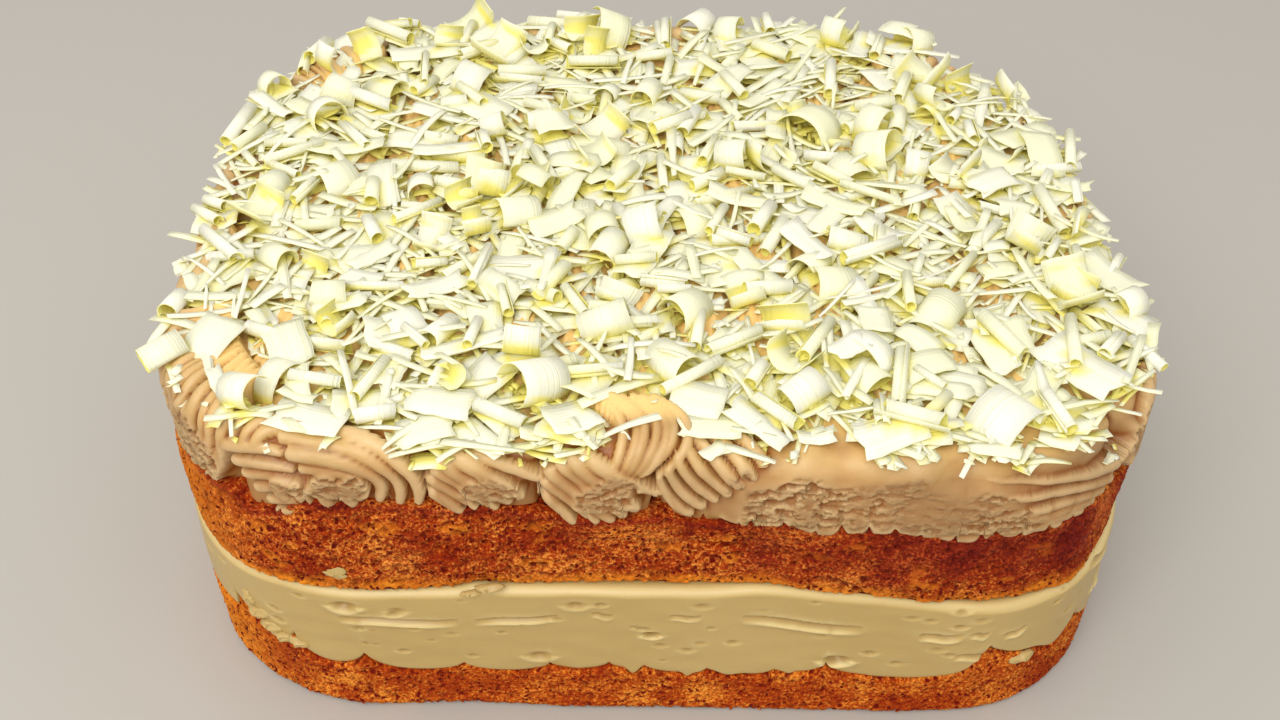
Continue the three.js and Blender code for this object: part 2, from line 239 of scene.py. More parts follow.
def mesh_piece(name, points, faces, finish):
    """A new object from points in millimetres, with smooth shading and one material."""
    mesh = bpy.data.meshes.new(name)
    mesh.from_pydata((np.asarray(points) * 0.001).tolist(), [], faces)
    mesh.materials.append(finish)
    mesh.polygons.foreach_set("use_smooth", [True] * len(mesh.polygons))
    piece = bpy.data.objects.new(name, mesh)
    bpy.context.scene.collection.objects.link(piece)
    return piece


def mark(piece, name, values):
    """Stores one number for each vertex of a piece, for its modifiers and its material to read."""
    numbers = np.asarray(values, np.float32).ravel()
    piece.data.attributes.new(name, "FLOAT", "POINT").data.foreach_set("value", numbers)


def grid_faces(rows, columns):
    """Quads between rows of points that run anticlockwise round a piece, facing out when the rows climb."""
    row, column = np.meshgrid(np.arange(rows - 1), np.arange(columns), indexing="ij")
    here, after = row * columns + column, row * columns + (column + 1) % columns
    return np.stack([here, after, after + columns, here + columns], -1).reshape(-1, 4).tolist()


def on_wall(values):
    """Numbers for the side of a layer, with zeros for its edge rows and the middle points of its ends."""
    edge_rows = np.zeros((2, COLUMNS))
    return np.append(np.vstack([edge_rows, values, edge_rows]), [0, 0])


def layer(name, wall_insets, wall_heights, lips, below, above, finish):
    """A closed layer from its side, as rows of insets and heights from low to high. At each end a row a lip
    further in, a row at the rim and a middle point close it, at the heights given below and above."""
    rim = np.full(COLUMNS, RIM)
    insets = np.vstack([rim, wall_insets[0] + lips[0], wall_insets, wall_insets[-1] + lips[1], rim])
    heights = np.vstack([*below, wall_heights, *above])
    rows = len(insets)
    x, y = ring(np.tile(round_ring, (rows, 1)), insets)
    points = np.stack([x, y, heights], -1).reshape(-1, 3)
    low, high, last = len(points), len(points) + 1, (rows - 1) * COLUMNS
    points = np.vstack([points, [0, 0, heights[0].mean()], [0, 0, heights[-1].mean()]])
    faces = grid_faces(rows, COLUMNS)
    faces += [(low, (i + 1) % COLUMNS, i) for i in range(COLUMNS)]
    faces += [(high, last + i, last + (i + 1) % COLUMNS) for i in range(COLUMNS)]
    piece = mesh_piece(name, points, faces, finish)
    mark(piece, "skin", on_wall(np.ones(wall_heights.shape)))
    return piece


def sized_tree(name, sizes):
    """A new Geometry Nodes tree with named inputs for its sizes and its finish, and the sockets of these."""
    tree = bpy.data.node_groups.new(name, "GeometryNodeTree")
    tree.interface.new_socket("Geometry", in_out="INPUT", socket_type="NodeSocketGeometry")
    for size, value in sizes.items():
        tree.interface.new_socket(size, in_out="INPUT", socket_type="NodeSocketFloat").default_value = value
    tree.interface.new_socket("Finish", in_out="INPUT", socket_type="NodeSocketMaterial")
    tree.interface.new_socket("Geometry", in_out="OUTPUT", socket_type="NodeSocketGeometry")
    return tree, tree.nodes.new("NodeGroupInput").outputs


def end_tree(tree, geometry, finish):
    """Ends a Geometry Nodes tree in plain mesh of the given finish."""
    real = add(tree, "GeometryNodeRealizeInstances", {"Geometry": geometry})
    done = add(tree, "GeometryNodeSetMaterial", {"Geometry": real, "Material": finish})
    add(tree, "NodeGroupOutput", {"Geometry": done})


def shape_by(piece, tree, sizes):
    """Runs a Geometry Nodes tree on a piece with its inputs by name, and keeps the result as plain mesh."""
    modifier = piece.modifiers.new(tree.name, "NODES")
    modifier.node_group = tree
    for item in tree.interface.items_tree:
        if item.in_out == "INPUT" and item.name in sizes:
            modifier[item.identifier] = sizes[item.name]
    bpy.context.view_layer.update()
    shaped = piece.evaluated_get(bpy.context.evaluated_depsgraph_get())
    mesh = bpy.data.meshes.new_from_object(shaped)
    piece.modifiers.clear()
    piece.data = mesh


def crumb_relief():
    """Geometry Nodes that carve open crumb into a sponge's skin: pores of three sizes and loose grain."""
    sizes = {"Pore width": 0.0026, "Pore depth": 0.0011, "Grain width": 0.001, "Grain height": 0.0006}
    tree, given = sized_tree("crumb_relief", sizes)
    place = add(tree, "GeometryNodeInputPosition")
    skin = add(tree, "GeometryNodeInputNamedAttribute", {"Name": "skin"}, data_type="FLOAT")
    # The largest pores lie in patches about eight millimetres wide.
    patches = add(tree, "ShaderNodeTexNoise", {"Vector": place, "Scale": 120.0, "Detail": 2.0})
    limits = {"Value": patches, 1: 0.42, 2: 0.6}
    open_here = add(tree, "ShaderNodeMapRange", limits, interpolation_type="SMOOTHSTEP")
    # For each size of pore: how many cells there are to a pore's width, how far from the middle of its cell
    # the pore's rim and its floor lie, and how deep it is.
    hollow = 0.0
    for cells_to_a_width, rim, floor_at, share in (
        (0.55, 0.34, 0.16, open_here),
        (1.0, 0.42, 0.2, 0.75),
        (1.9, 0.45, 0.2, 0.45),
    ):
        per_width = {0: cells_to_a_width, 1: given["Pore width"]}
        scale = add(tree, "ShaderNodeMath", per_width, operation="DIVIDE")
        cells = add(tree, "ShaderNodeTexVoronoi", {"Vector": place, "Scale": scale, "Randomness": 1.0})
        spot = {"Value": cells, 1: rim, 2: floor_at, 3: 0.0, 4: 1.0}
        pore = add(tree, "ShaderNodeMapRange", spot, interpolation_type="SMOOTHSTEP")
        pore = add(tree, "ShaderNodeMath", {0: pore, 1: share}, operation="MULTIPLY")
        hollow = add(tree, "ShaderNodeMath", {0: hollow, 1: pore}, operation="MAXIMUM")
    scale = add(tree, "ShaderNodeMath", {0: 1.0, 1: given["Grain width"]}, operation="DIVIDE")
    grain = {"Vector": place, "Scale": scale, "Detail": 2.0, "Roughness": 0.7}
    grain = add(tree, "ShaderNodeTexNoise", grain)
    grain = add(tree, "ShaderNodeMath", {0: grain, 1: 0.5}, operation="SUBTRACT")
    grain = add(tree, "ShaderNodeMath", {0: grain, 1: given["Grain height"]}, operation="MULTIPLY")
    sink = add(tree, "ShaderNodeMath", {0: hollow, 1: given["Pore depth"]}, operation="MULTIPLY")
    rise = add(tree, "ShaderNodeMath", {0: grain, 1: sink}, operation="SUBTRACT")
    rise = add(tree, "ShaderNodeMath", {0: rise, 1: skin}, operation="MULTIPLY")
    normal = add(tree, "GeometryNodeInputNormal")
    offset = add(tree, "ShaderNodeVectorMath", {0: normal, "Scale": rise}, operation="SCALE")
    stored = {"Geometry": given["Geometry"], "Name": "hollow", "Value": hollow}
    carved = add(tree, "GeometryNodeStoreNamedAttribute", stored, data_type="FLOAT", domain="POINT")
    moved = add(tree, "GeometryNodeSetPosition", {"Geometry": carved, "Offset": offset})
    end_tree(tree, moved, given["Finish"])
    return tree


def sponge_crumb(name, light, body, red, deep, soaked):
    """Baked egg sponge cut through: matt, dry crumb. Golden grains stand out over pores painted a deep
    red-brown as shade, and where coffee syrup has soaked in, the crumb is darker and a little moist."""
    made, tree = material(name)
    place = add(tree, "ShaderNodeTexCoord", output="Object")
    hollow = add(tree, "ShaderNodeAttribute", output="Fac", attribute_name="hollow")
    baked = add(tree, "ShaderNodeAttribute", output="Fac", attribute_name="golden")
    wet = add(tree, "ShaderNodeAttribute", output="Fac", attribute_name="soaked")
    # Grains of crumb are 0.8 mm wide, and the patches of bake about 14 mm.
    fine = {"Vector": place, "Scale": 1250.0, "Detail": 3.0, "Roughness": 0.7}
    grain = add(tree, "ShaderNodeTexNoise", fine)
    wide = {"Vector": place, "Scale": 70.0, "Detail": 3.0, "Roughness": 0.6}
    cloud = add(tree, "ShaderNodeTexNoise", wide)
    tone = add(tree, "ShaderNodeMix", {0: 0.4, 2: grain, 3: cloud}, data_type="FLOAT")
    ramp = add(tree, "ShaderNodeValToRGB", {"Fac": tone})
    stops = ramp.node.color_ramp.elements
    stops[0].position, stops[0].color = 0.38, linear(red)
    stops[1].position, stops[1].color = 0.62, linear(light)
    stops.new(0.5).color = linear(body)
    golden = {0: baked, 6: ramp, 7: linear("#e2861e")}
    crust = add(tree, "ShaderNodeMix", golden, output=2, data_type="RGBA")
    # Pores are ragged, of all sizes up to a millimetre, and about 1.8 mm apart. They and the pores carved in
    # the mesh are painted the deep colour as shade in their hollows, less where the crumb is soaked.
    warp = add(tree, "ShaderNodeTexNoise", {"Vector": place, "Scale": 500.0, "Detail": 1.0}, output=1)
    ragged = add(tree, "ShaderNodeVectorMath", {0: warp, "Scale": 0.0022}, operation="SCALE")
    bent = add(tree, "ShaderNodeVectorMath", {0: place, 1: ragged})
    cells = add(tree, "ShaderNodeTexVoronoi", {"Vector": bent, "Scale": 560.0, "Randomness": 1.0})
    chance = add(tree, "ShaderNodeSeparateXYZ", {0: cells.node.outputs["Color"]})
    rim = add(tree, "ShaderNodeMapRange", {"Value": chance, 3: 0.16, 4: 0.5})
    core = add(tree, "ShaderNodeMath", {0: rim, 1: 0.5}, operation="MULTIPLY")
    spot = {"Value": cells, 1: rim, 2: core, 3: 0.0, 4: 1.0}
    pit = add(tree, "ShaderNodeMapRange", spot, interpolation_type="SMOOTHSTEP")
    dry = add(tree, "ShaderNodeMapRange", {"Value": wet, 3: 1.0, 4: 0.3})
    # Painted shade: the pores are mixed toward the deep colour.
    painted_pore_shade = add(tree, "ShaderNodeMath", {0: hollow, 1: pit}, operation="MAXIMUM")
    painted_pore_shade = add(tree, "ShaderNodeMath", {0: painted_pore_shade, 1: dry}, operation="MULTIPLY")
    crust = add(tree, "ShaderNodeMix", {0: painted_pore_shade, 6: crust, 7: linear(deep)}, output=2, data_type="RGBA")
    syrup = {0: wet, 6: crust, 7: linear(soaked)}
    colour = add(tree, "ShaderNodeMix", syrup, output=2, data_type="RGBA", blend_type="MULTIPLY")
    dull = add(tree, "ShaderNodeMapRange", {"Value": wet, 3: 0.9, 4: 0.6})
    relief = add(tree, "ShaderNodeMath", {0: grain, 1: pit}, operation="SUBTRACT")
    bumps = add(tree, "ShaderNodeBump", {"Strength": 0.8, "Distance": 0.0006, "Height": relief})
    crumb = {"Base Color": colour, "Roughness": dull, "Normal": bumps, "Subsurface Weight": 0.15}
    crumb |= {"Subsurface Radius": (1.0, 0.4, 0.15), "Subsurface Scale": 0.0015, "Specular IOR Level": 0.15}
    shader = add(tree, "ShaderNodeBsdfPrincipled", crumb)
    add(tree, "ShaderNodeOutputMaterial", {"Surface": shader})
    return made


def rows_between(low, high, count):
    """Heights spread evenly between two rows of heights."""
    return low + (high - low) * np.linspace(0, 1, count)[:, None]


# The fourth colour of each sponge is the painted shade in its pores.
sponge = sponge_crumb("egg_sponge_crumb", "#f29a36", "#b24806", "#8a2602", "#700a00", "#bc5a48")
crumb_tree = crumb_relief()
round_ring = np.linspace(0, PERIMETER, COLUMNS, endpoint=False)
side_points = np.stack([*ring(round_ring, 0), np.zeros(COLUMNS)], 1)
unevenness = lumps(side_points, 26, 1) * 0.7 + lumps(side_points, 9, 2) * 0.35
custard_edge = drip_edge(round_ring)
flat = np.zeros(COLUMNS)

sponge_top = CUSTARD_FROM + custard_edge - GAP
wall_heights = rows_between(np.full(COLUMNS, 0.5), sponge_top - 0.4, LOWER_ROWS)
foot = FOOT_DEPTH * np.clip(1 - wall_heights / FOOT_HEIGHT, 0, 1) ** 2
waist = 0.35 * np.sin(5 * wall_heights / CUSTARD_FROM)
wall_insets = SPONGE_INSET - unevenness + foot + waist
above = (sponge_top, np.full(COLUMNS, CUSTARD_FROM - GAP))
lower = layer("lower_sponge_crumb", wall_insets, wall_heights, (1.2, 0.9), (flat, flat), above, sponge)
mark(lower, "golden", np.append(np.tile(0.85 * rises(round_ring, PALE_CORNER), LOWER_ROWS + 4), [0, 0]))
sizes = {"Pore width": 0.002, "Pore depth": 0.0007, "Grain height": 0.001, "Finish": sponge}
shape_by(lower, crumb_tree, sizes)
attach(lower, "root")
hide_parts("lower_sponge")


# Loose crumbs: bits of the same sponge, a millimetre or less across, that broke off when the ring was
# lifted. They cling to the foot of the cake and to the seam over the lower sponge.
CRUMBS_IN_A_SQUARE_METRE = 55000.0
CRUMB_WIDTHS = (0.0004, 0.0011)


def crumb_scatter():
    """Geometry Nodes that strew small ragged lumps over a surface, each with its own size and turn."""
    sizes = {"Crumbs in a square metre": 30000.0, "Smallest crumb": 0.0004, "Largest crumb": 0.0013}
    tree, given = sized_tree("crumb_scatter", sizes)
    where = {"Mesh": given["Geometry"], "Density": given["Crumbs in a square metre"], "Seed": 5}
    places = add(tree, "GeometryNodeDistributePointsOnFaces", where, distribute_method="RANDOM")
    span = {0: given["Smallest crumb"], 1: given["Largest crumb"], "Seed": 1}
    size = add(tree, "FunctionNodeRandomValue", span, data_type="FLOAT_VECTOR")
    full_turn = {0: (0.0, 0.0, 0.0), 1: (6.3, 6.3, 6.3), "Seed": 2}
    turn = add(tree, "FunctionNodeRandomValue", full_turn, data_type="FLOAT_VECTOR")
    lump = add(tree, "GeometryNodeMeshIcoSphere", {"Radius": 0.5, "Subdivisions": 2})
    strewn = {"Points": places, "Instance": lump, "Rotation": turn, "Scale": size}
    crumbs = add(tree, "GeometryNodeInstanceOnPoints", strewn)
    real = add(tree, "GeometryNodeRealizeInstances", {"Geometry": crumbs})
    ragged = add(tree, "ShaderNodeTexNoise", {"Scale": 1500.0, "Detail": 1.0}, output=1)
    centred = {0: ragged, 1: (0.5, 0.5, 0.5)}
    centred = add(tree, "ShaderNodeVectorMath", centred, operation="SUBTRACT")
    offset = add(tree, "ShaderNodeVectorMath", {0: centred, "Scale": 0.0007}, operation="SCALE")
    bent = add(tree, "GeometryNodeSetPosition", {"Geometry": real, "Offset": offset})
    end_tree(tree, bent, given["Finish"])
    return tree


# The crumbs lie on two bands: for each, the height of its lower and upper edge, and its inset.
skin = SPONGE_INSET - unevenness
crumb_bands = [(np.full(COLUMNS, 0.6), np.full(COLUMNS, 2.4), skin + 0.4)]
crumb_bands += [(sponge_top - 0.8, sponge_top + 0.9, skin + 0.1)]
points, faces = [], []
for low, high, inset in crumb_bands:
    band_x, band_y = ring(round_ring, inset)
    faces += [tuple(len(points) + i for i in face) for face in grid_faces(2, COLUMNS)]
    points += np.vstack([np.stack([band_x, band_y, low], 1), np.stack([band_x, band_y, high], 1)]).tolist()
crumbs = mesh_piece("loose_sponge_crumbs", points, faces, sponge)
sizes = {"Crumbs in a square metre": CRUMBS_IN_A_SQUARE_METRE, "Finish": sponge}
sizes |= {"Smallest crumb": CRUMB_WIDTHS[0], "Largest crumb": CRUMB_WIDTHS[1]}
shape_by(crumbs, crumb_scatter(), sizes)
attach(crumbs, "root")
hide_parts("lower_sponge")


# Custard filling: thick pastry cream, piped in blobs on the sponge and pressed smooth against the ring,
# which left a satin face with drawn-out slits and small air holes. Its rounded top carries the upper sponge.
CUSTARD_TO = 45.2
CUSTARD_FALL = 0.008
CUSTARD_INSET = 0.5
CUSTARD_ROWS = 78
# How far its face curls in at the bottom and at the top, and over what height.
BOTTOM_ROUND = (1.6, 2.2)
TOP_ROUND = (1.9, 2.0)
# Slits drawn along the face: place along the ring and height of their start, the same of their end, width.
SLITS = [
    (-6, 36.4, 24, 36.2, 1.0),
    (28, 36.4, 49, 38.4, 0.9),
    (94, 39.2, 124, 35.6, 1.2),
    (76, 39, 84, 39.2, 0.7),
    (138, 33.2, 149, 33.4, 1.1),
    (151, 33.4, 156, 33.6, 0.8),
    (160, 31.5, 166, 33.2, 0.9),
    (148, 25, 157, 25.6, 0.9),
    (66, 34.4, 71, 34.6, 0.5),
    (57, 39.4, 62, 38.8, 0.7),
]
SLITS_BEHIND = 34
# Where its top edge stands higher or lower: place along the ring, half the length, and how much.
TOP_LIFTS = [(67, 44, 2.4), (112, 22, 2.0), (172, 26, -2.6), (30.5, 4.5, 0.9), (-52, 26, -3.2)]
TOP_LIFTS += [(240, 40, 1.2), (430, 60, 1.5), (600, 50, 1.0)]
# Air holes: place along the ring, height, width and depth.
HOLES = [(71.7, 31.5, 0.8, 1.5), (53, 42.3, 1.0, 0.7), (-4, 40.5, 1.3, 1.3), (9, 39.5, 0.9, 0.5)]
HOLES += [(118.5, 22.4, 1.3, 1.6), (43.5, 22.3, 1.2, 0.9), (92, 29, 0.6, 0.5), (84, 43, 0.8, 0.4)]
SMALL_HOLES = 150


def smooth(share):
    """A share from 0 to 1 that starts and ends gently."""
    share = np.clip(share, 0, 1)
    return share * share * (3 - 2 * share)


def hollows(relief, depth, reach):
    """Where a relief lies below its surroundings, as a share of a depth; below 0 where it stands out."""
    blurred = relief
    for shift in range(1, reach + 1):
        for axis in (0, 1):
            blurred = (2 * blurred + np.roll(blurred, shift, axis) + np.roll(blurred, -shift, axis)) / 4
    return np.clip((blurred - relief) / depth, -1, 1)


def custard_top(x, distance):
    """Height of the custard's upper edge: a nearly flat plane that wanders a little."""
    wander = 0.3 * np.sin(distance * 22 * math.pi / PERIMETER) + rises(distance, TOP_LIFTS)
    return CUSTARD_TO - CUSTARD_FALL * x + wander


def side_grid(heights):
    """The points of the ring's own outline at rows of heights."""
    rows = len(heights)
    return np.stack([*(np.tile(side_points[:, axis], (rows, 1)) for axis in (0, 1)), heights], -1)


def custard_relief(distance, height, points):
    """How far the pressed face stands out, in millimetres: soft waves, drawn slits, holes and dimples."""
    relief = lumps(points, 34, 3) * 0.5 + lumps(points * [1, 1, 2.5], 11, 4) * 0.16
    random = np.random.default_rng(11)
    slits, holes = list(SLITS), list(HOLES)
    for _ in range(SLITS_BEHIND):
        start, low = random.uniform(175, PERIMETER - 70), random.uniform(23, 45)
        end, high = start + random.uniform(3, 24), low + random.uniform(-1.5, 1.5)
        slits.append((start, low, end, high, random.uniform(0.4, 1.1)))
    for _ in range(SMALL_HOLES):
        at, rise = random.uniform([-60, 21], [PERIMETER - 60, 47])
        holes.append((at, rise, random.uniform(0.3, 0.75), random.uniform(0.15, 0.6)))
    for start, low, end, high, width in slits:
        along = np.clip(around_of(distance, start) / (end - start), -0.2, 1.2)
        near = (along > -0.1) & (along < 1.1)
        off = (height - (low + (high - low) * along) - 0.35 * np.sin(along * 7)) / width
        taper = np.sin(np.clip(along, 0, 1) * math.pi) ** 0.6
        cut = 1.4 * width * np.clip(1 + off / 1.7, 0, 1) * smooth(1 - off / 0.35) * (off < 0.35)
        lip = 0.6 * width * np.exp(-((off + 2.0) ** 2) / 0.5)
        relief -= np.where(near, (cut - lip) * taper, 0)
    for at, rise, width, depth in holes:
        off = np.hypot(around_of(distance, at) / 1.9, height - rise) / width
        lip = 0.4 * depth * np.exp(-((off - 1.6) ** 2) / 0.4) * (height < rise)
        relief -= 1.5 * depth * np.exp(-(off**2)) - lip
    return relief


def pastry_cream():
    """Set pastry cream of egg yolk and milk: smooth, moist and slightly see-through, with a satin gloss."""
    made, tree = material("pressed_pastry_cream")
    place = add(tree, "ShaderNodeTexCoord", output="Object")
    # Richer and paler cream lie in clouds about 36 mm wide.
    cloud = add(tree, "ShaderNodeTexNoise", {"Vector": place, "Scale": 28.0, "Detail": 2.0})
    shades = {0: cloud, 6: linear("#b09559"), 7: linear("#baa068")}
    colour = add(tree, "ShaderNodeMix", shades, output=2, data_type="RGBA")
    # Painted shade darkens the slits and air holes, and painted highlight lightens what stands out and the
    # rounded top lip.
    painted_shade_and_highlight = add(tree, "ShaderNodeAttribute", output="Fac", attribute_name="painted_shade_and_highlight")
    for reach, other in ((1.0, "#8c6420"), (-1.0, "#e8d8a0")):
        share = add(tree, "ShaderNodeMapRange", {"Value": painted_shade_and_highlight, 2: reach, 4: 0.5})
        shades = {0: share, 6: colour, 7: linear(other)}
        colour = add(tree, "ShaderNodeMix", shades, output=2, data_type="RGBA")
    # The satin face has ripples about 2 mm wide.
    fine = add(tree, "ShaderNodeTexNoise", {"Vector": place, "Scale": 420.0, "Detail": 2.0})
    bumps = add(tree, "ShaderNodeBump", {"Strength": 0.12, "Distance": 0.0005, "Height": fine})
    body = {"Base Color": colour, "Roughness": 0.38, "IOR": 1.45, "Normal": bumps, "Subsurface Weight": 0.3}
    body |= {"Subsurface Radius": (1.0, 0.65, 0.3), "Subsurface Scale": 0.002}
    shader = add(tree, "ShaderNodeBsdfPrincipled", body)
    add(tree, "ShaderNodeOutputMaterial", {"Surface": shader})
    return made


custard_base = CUSTARD_FROM + custard_edge
x_round, _ = ring(round_ring, 0)
custard_upper = custard_top(x_round, round_ring)
wall_heights = rows_between(custard_base + 0.4, custard_upper - 0.2, CUSTARD_ROWS)
over_base, under_top = wall_heights - custard_base, custard_upper - wall_heights
rounding = BOTTOM_ROUND[0] * np.clip(1 - over_base / BOTTOM_ROUND[1], 0, 1) ** 2
rounding += TOP_ROUND[0] * np.clip(1 - under_top / TOP_ROUND[1], 0, 1) ** 2
around = np.tile(round_ring, CUSTARD_ROWS)
stand_out = custard_relief(around, wall_heights.ravel(), side_grid(wall_heights).reshape(-1, 3))
stand_out = stand_out.reshape(wall_heights.shape) * smooth(over_base / 2) * smooth(under_top / 2)
# Painted shade in the slits and holes, and painted highlight on what stands out and along the top lip.
painted_shades_and_highlights = hollows(stand_out, 0.5, 3) - smooth(1 - under_top / 2.2)
wall_insets = CUSTARD_INSET + rounding - stand_out
below = (np.full(COLUMNS, CUSTARD_FROM), custard_base)
above = (custard_upper, custard_upper + 0.2)
custard_finish = pastry_cream()
custard = layer("custard_cream_layer", wall_insets, wall_heights, (1.6, 1.6), below, above, custard_finish)
mark(custard, "painted_shade_and_highlight", on_wall(painted_shades_and_highlights))
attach(custard, "root")
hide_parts("custard_filling")


# Dabs of the same custard: lumps left at the foot of its face near the left corner, and smears on the
# sponges where the spatula slipped. Each is a flattened, lumpy drop: place along the ring, height, half
# length, half height, and depth.
DABS = [(-31, 27.2, 3.4, 2.0, 1.5), (-27.6, 24.4, 3.0, 1.9, 1.6), (-23.6, 22.6, 3.2, 1.6, 1.7)]
DABS += [(-19, 22.2, 3.0, 1.4, 1.6), (-34, 31, 2.4, 1.8, 1.2), (-4.5, 52.6, 3.6, 1.6, 0.5)]
DABS += [(32, 48.6, 3.4, 1.1, 1.4), (27.6, 46.4, 2.2, 1.0, 1.2), (168, 19.6, 3.2, 1.8, 1.6)]
DABS += [(262, 18, 4.0, 1.6, 1.6), (395, 17.4, 4.4, 1.8, 1.8), (520, 47.5, 3.8, 1.5, 1.3)]
DABS += [(610, 18.6, 3.4, 1.5, 1.6)]
DAB_STEPS = 22
DAB_RINGS = 11


def dab(place, height, half_length, half_height, depth, seed):
    """Points of one drop, as rings from its tip out to its rim and back behind the surface it sticks to."""
    out = np.linspace(0.04, 1.12, DAB_RINGS)[:, None] * math.pi / 2
    turn = np.linspace(0, 2 * math.pi, DAB_STEPS, endpoint=False)[None, :]
    reach = np.sin(out) * np.ones_like(turn)
    rim = 1 + 0.25 * np.sin(2 * turn + seed) + 0.16 * np.sin(3 * turn + 2.1 * seed)
    rim += 0.1 * np.sin(7 * turn + seed)
    along = place + half_length * reach * rim * np.cos(turn)
    z = height + half_height * reach * rim * np.sin(turn)
    crest = depth * np.cos(out) * (1 + 0.25 * np.sin(2.3 * turn + 3 * out + seed))
    x, y = ring(along, SPONGE_INSET - crest)
    return np.stack([x, y, z], -1).reshape(-1, 3)


points, faces = [], []
for number, sizes in enumerate(DABS):
    first = len(points)
    outer = first + (DAB_RINGS - 1) * DAB_STEPS
    points += dab(*sizes, number).tolist()
    faces += [tuple(first + i for i in reversed(face)) for face in grid_faces(DAB_RINGS, DAB_STEPS)]
    faces += [tuple(range(first, first + DAB_STEPS)), tuple(range(outer + DAB_STEPS - 1, outer - 1, -1))]
points = np.array(points)
points += lumps(points, 1.8, 41)[:, None] * 0.25
dabs = mesh_piece("custard_dabs", points, faces, custard_finish)
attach(dabs, "root")
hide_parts("custard_filling")


# Upper sponge: the second slice of the same bake. Coffee syrup was spooned over it and has soaked down
# through its right half in dark streaks. Its side sits a little behind the custard's lip and under the
# edge of the cream.
CREAM_FROM = 73.5
CREAM_FALL = 0.045
UPPER_ROWS = 50
# Where the custard's top shows in front of this sponge: place along the ring, half its length, its depth.
LEDGES = [(67, 41, 2.4), (159, 15, 1.8)]
# Where syrup soaked in: place along the ring, height, half width and strength.
SOAK_PATCHES = [(9, 66, 12, 0.45), (33, 58, 11, 0.4), (52, 68, 7, 0.4), (112, 64, 28, 0.9)]
SOAK_PATCHES += [(146, 66, 24, 1.0), (172, 60, 14, 0.9), (192, 58, 18, 1.0)]
SOAK_HEIGHT = 13
# Where crumb was torn out: place along the ring, height, half length, half height and depth.
TEARS = [(84, 62.5, 11, 1.2, 1.5), (0.5, 71, 1.3, 1.2, 1.7), (22, 61.6, 2.0, 1.7, 2.2)]
TEARS += [(32, 62.6, 1.5, 1.3, 1.9), (44, 68.4, 1.0, 0.9, 1.3), (61, 63, 7, 0.8, 0.9)]
TEARS += [(100, 60, 12, 0.9, 0.9), (140, 59, 7, 0.8, 0.8)]
# Where the cream above hangs down lower: place along the ring, half the length, and how far.
CREAM_HANGS = [(-51, 26, 8.0), (-21, 8, 6.5), (56, 13, 2.2), (85, 8, 1.8), (108, 5, 1.6), (138, 9, 2.2)]


def cream_bottom(x, distance):
    """Height at which the cream starts. Its blobs at the front corners hang down over the sponge."""
    return CREAM_FROM - CREAM_FALL * x - rises(distance, CREAM_HANGS)


# Its fourth colour is the painted shade in the pores.
soaked_colours = ("#ee983e", "#a23802", "#781a02", "#640500", "#b03424")
soaked_sponge = sponge_crumb("coffee_soaked_sponge_crumb", *soaked_colours)
upper_base = custard_upper + 0.2 + GAP
cream_base = cream_bottom(x_round, round_ring)
wall_heights = rows_between(upper_base + 0.5, cream_base - 0.4, UPPER_ROWS)
climb = (wall_heights - upper_base) / (cream_base - upper_base)
around = np.tile(around_of(round_ring), (UPPER_ROWS, 1))
points = side_grid(wall_heights).reshape(-1, 3)
uneven = (lumps(points, 22, 6) * 0.8 + lumps(points, 7, 7) * 0.45).reshape(wall_heights.shape)
for at, rise, half_length, half_height, depth in TEARS:
    off = ((around - at) / half_length) ** 2 + ((wall_heights - rise) / half_height) ** 2
    uneven -= depth * np.exp(-(off**1.5))
ledge = rises(around, LEDGES)
ledge += smooth((np.abs(around) - 175) / 20) * (1.4 + 1.6 * np.sin(around / 31) * np.sin(around / 17 + 1))
belly = 0.5 * smooth(climb / 0.3) * smooth((1 - climb) / 0.3)
wall_insets = SPONGE_INSET + ledge * smooth((1.15 - climb) / 0.6) - uneven - belly
below, above = (upper_base, upper_base), (cream_base, cream_base)
upper = layer("upper_sponge_crumb", wall_insets, wall_heights, (0.8, 1.0), below, above, soaked_sponge)

soaked = 0
for at, rise, reach, strength in SOAK_PATCHES:
    soaked += strength * np.exp(-(((around - at) / reach) ** 2) - ((wall_heights - rise) / SOAK_HEIGHT) ** 2)
streaks = lumps(points * [1, 1, 0.6], 12, 8).reshape(wall_heights.shape)
soaked = 0.85 * smooth((soaked * 0.9 + 0.6 * streaks - 0.1) / 1.2) * smooth((climb - 0.02) / 0.2)
mark(upper, "soaked", on_wall(np.maximum(soaked, 0.75 * smooth((climb - 0.9) / 0.1))))
patchy = lumps(points * [1, 1, 2], 9, 31).reshape(wall_heights.shape)
golden = 0.6 * smooth((0.2 + 0.12 * patchy - climb) / 0.16)
golden += 0.5 * smooth((patchy - 0.35) / 0.2) * smooth((1 - climb) / 0.3)
mark(upper, "golden", on_wall(np.maximum(golden, 0.75 * rises(around, PALE_CORNER) * (0.75 + 0.25 * patchy))))
sizes = {"Pore width": 0.0026, "Pore depth": 0.0013, "Grain height": 0.0009, "Finish": soaked_sponge}
shape_by(upper, crumb_tree, sizes)
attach(upper, "root")
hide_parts("upper_sponge")


# Piped border: coffee cream from a wide star nozzle, laid in blobs round the edge and pushed against the
# ring. When the ring came off, the faces that had touched it stayed flat and torn, and the nozzle's ridges
# show elsewhere. Places across the border are lengths from the middle of its rounded shoulder: they grow
# inwards over the top and are negative down the wall.
CREAM_TO = 92.5
SHOULDER = 5.0
ARC = SHOULDER * math.pi / 4
CREAM_INSET = 3.4
RING_MARGIN = 0.15
BORDER_COLUMNS = 2000
WALL_STEPS = 44
TOP_STEPS = 32
BORDER_DEPTH = 24.0
CUSP_DEPTH = 5.5
CUSP_RISE = 8.5
# How far its lower lip curls in, and over what height.
LIP_ROUND = (2.4, 1.9)
# Where the ring pressed the cream it is smeared flat, and the ridges only just show through.
SMEAR = 0.3
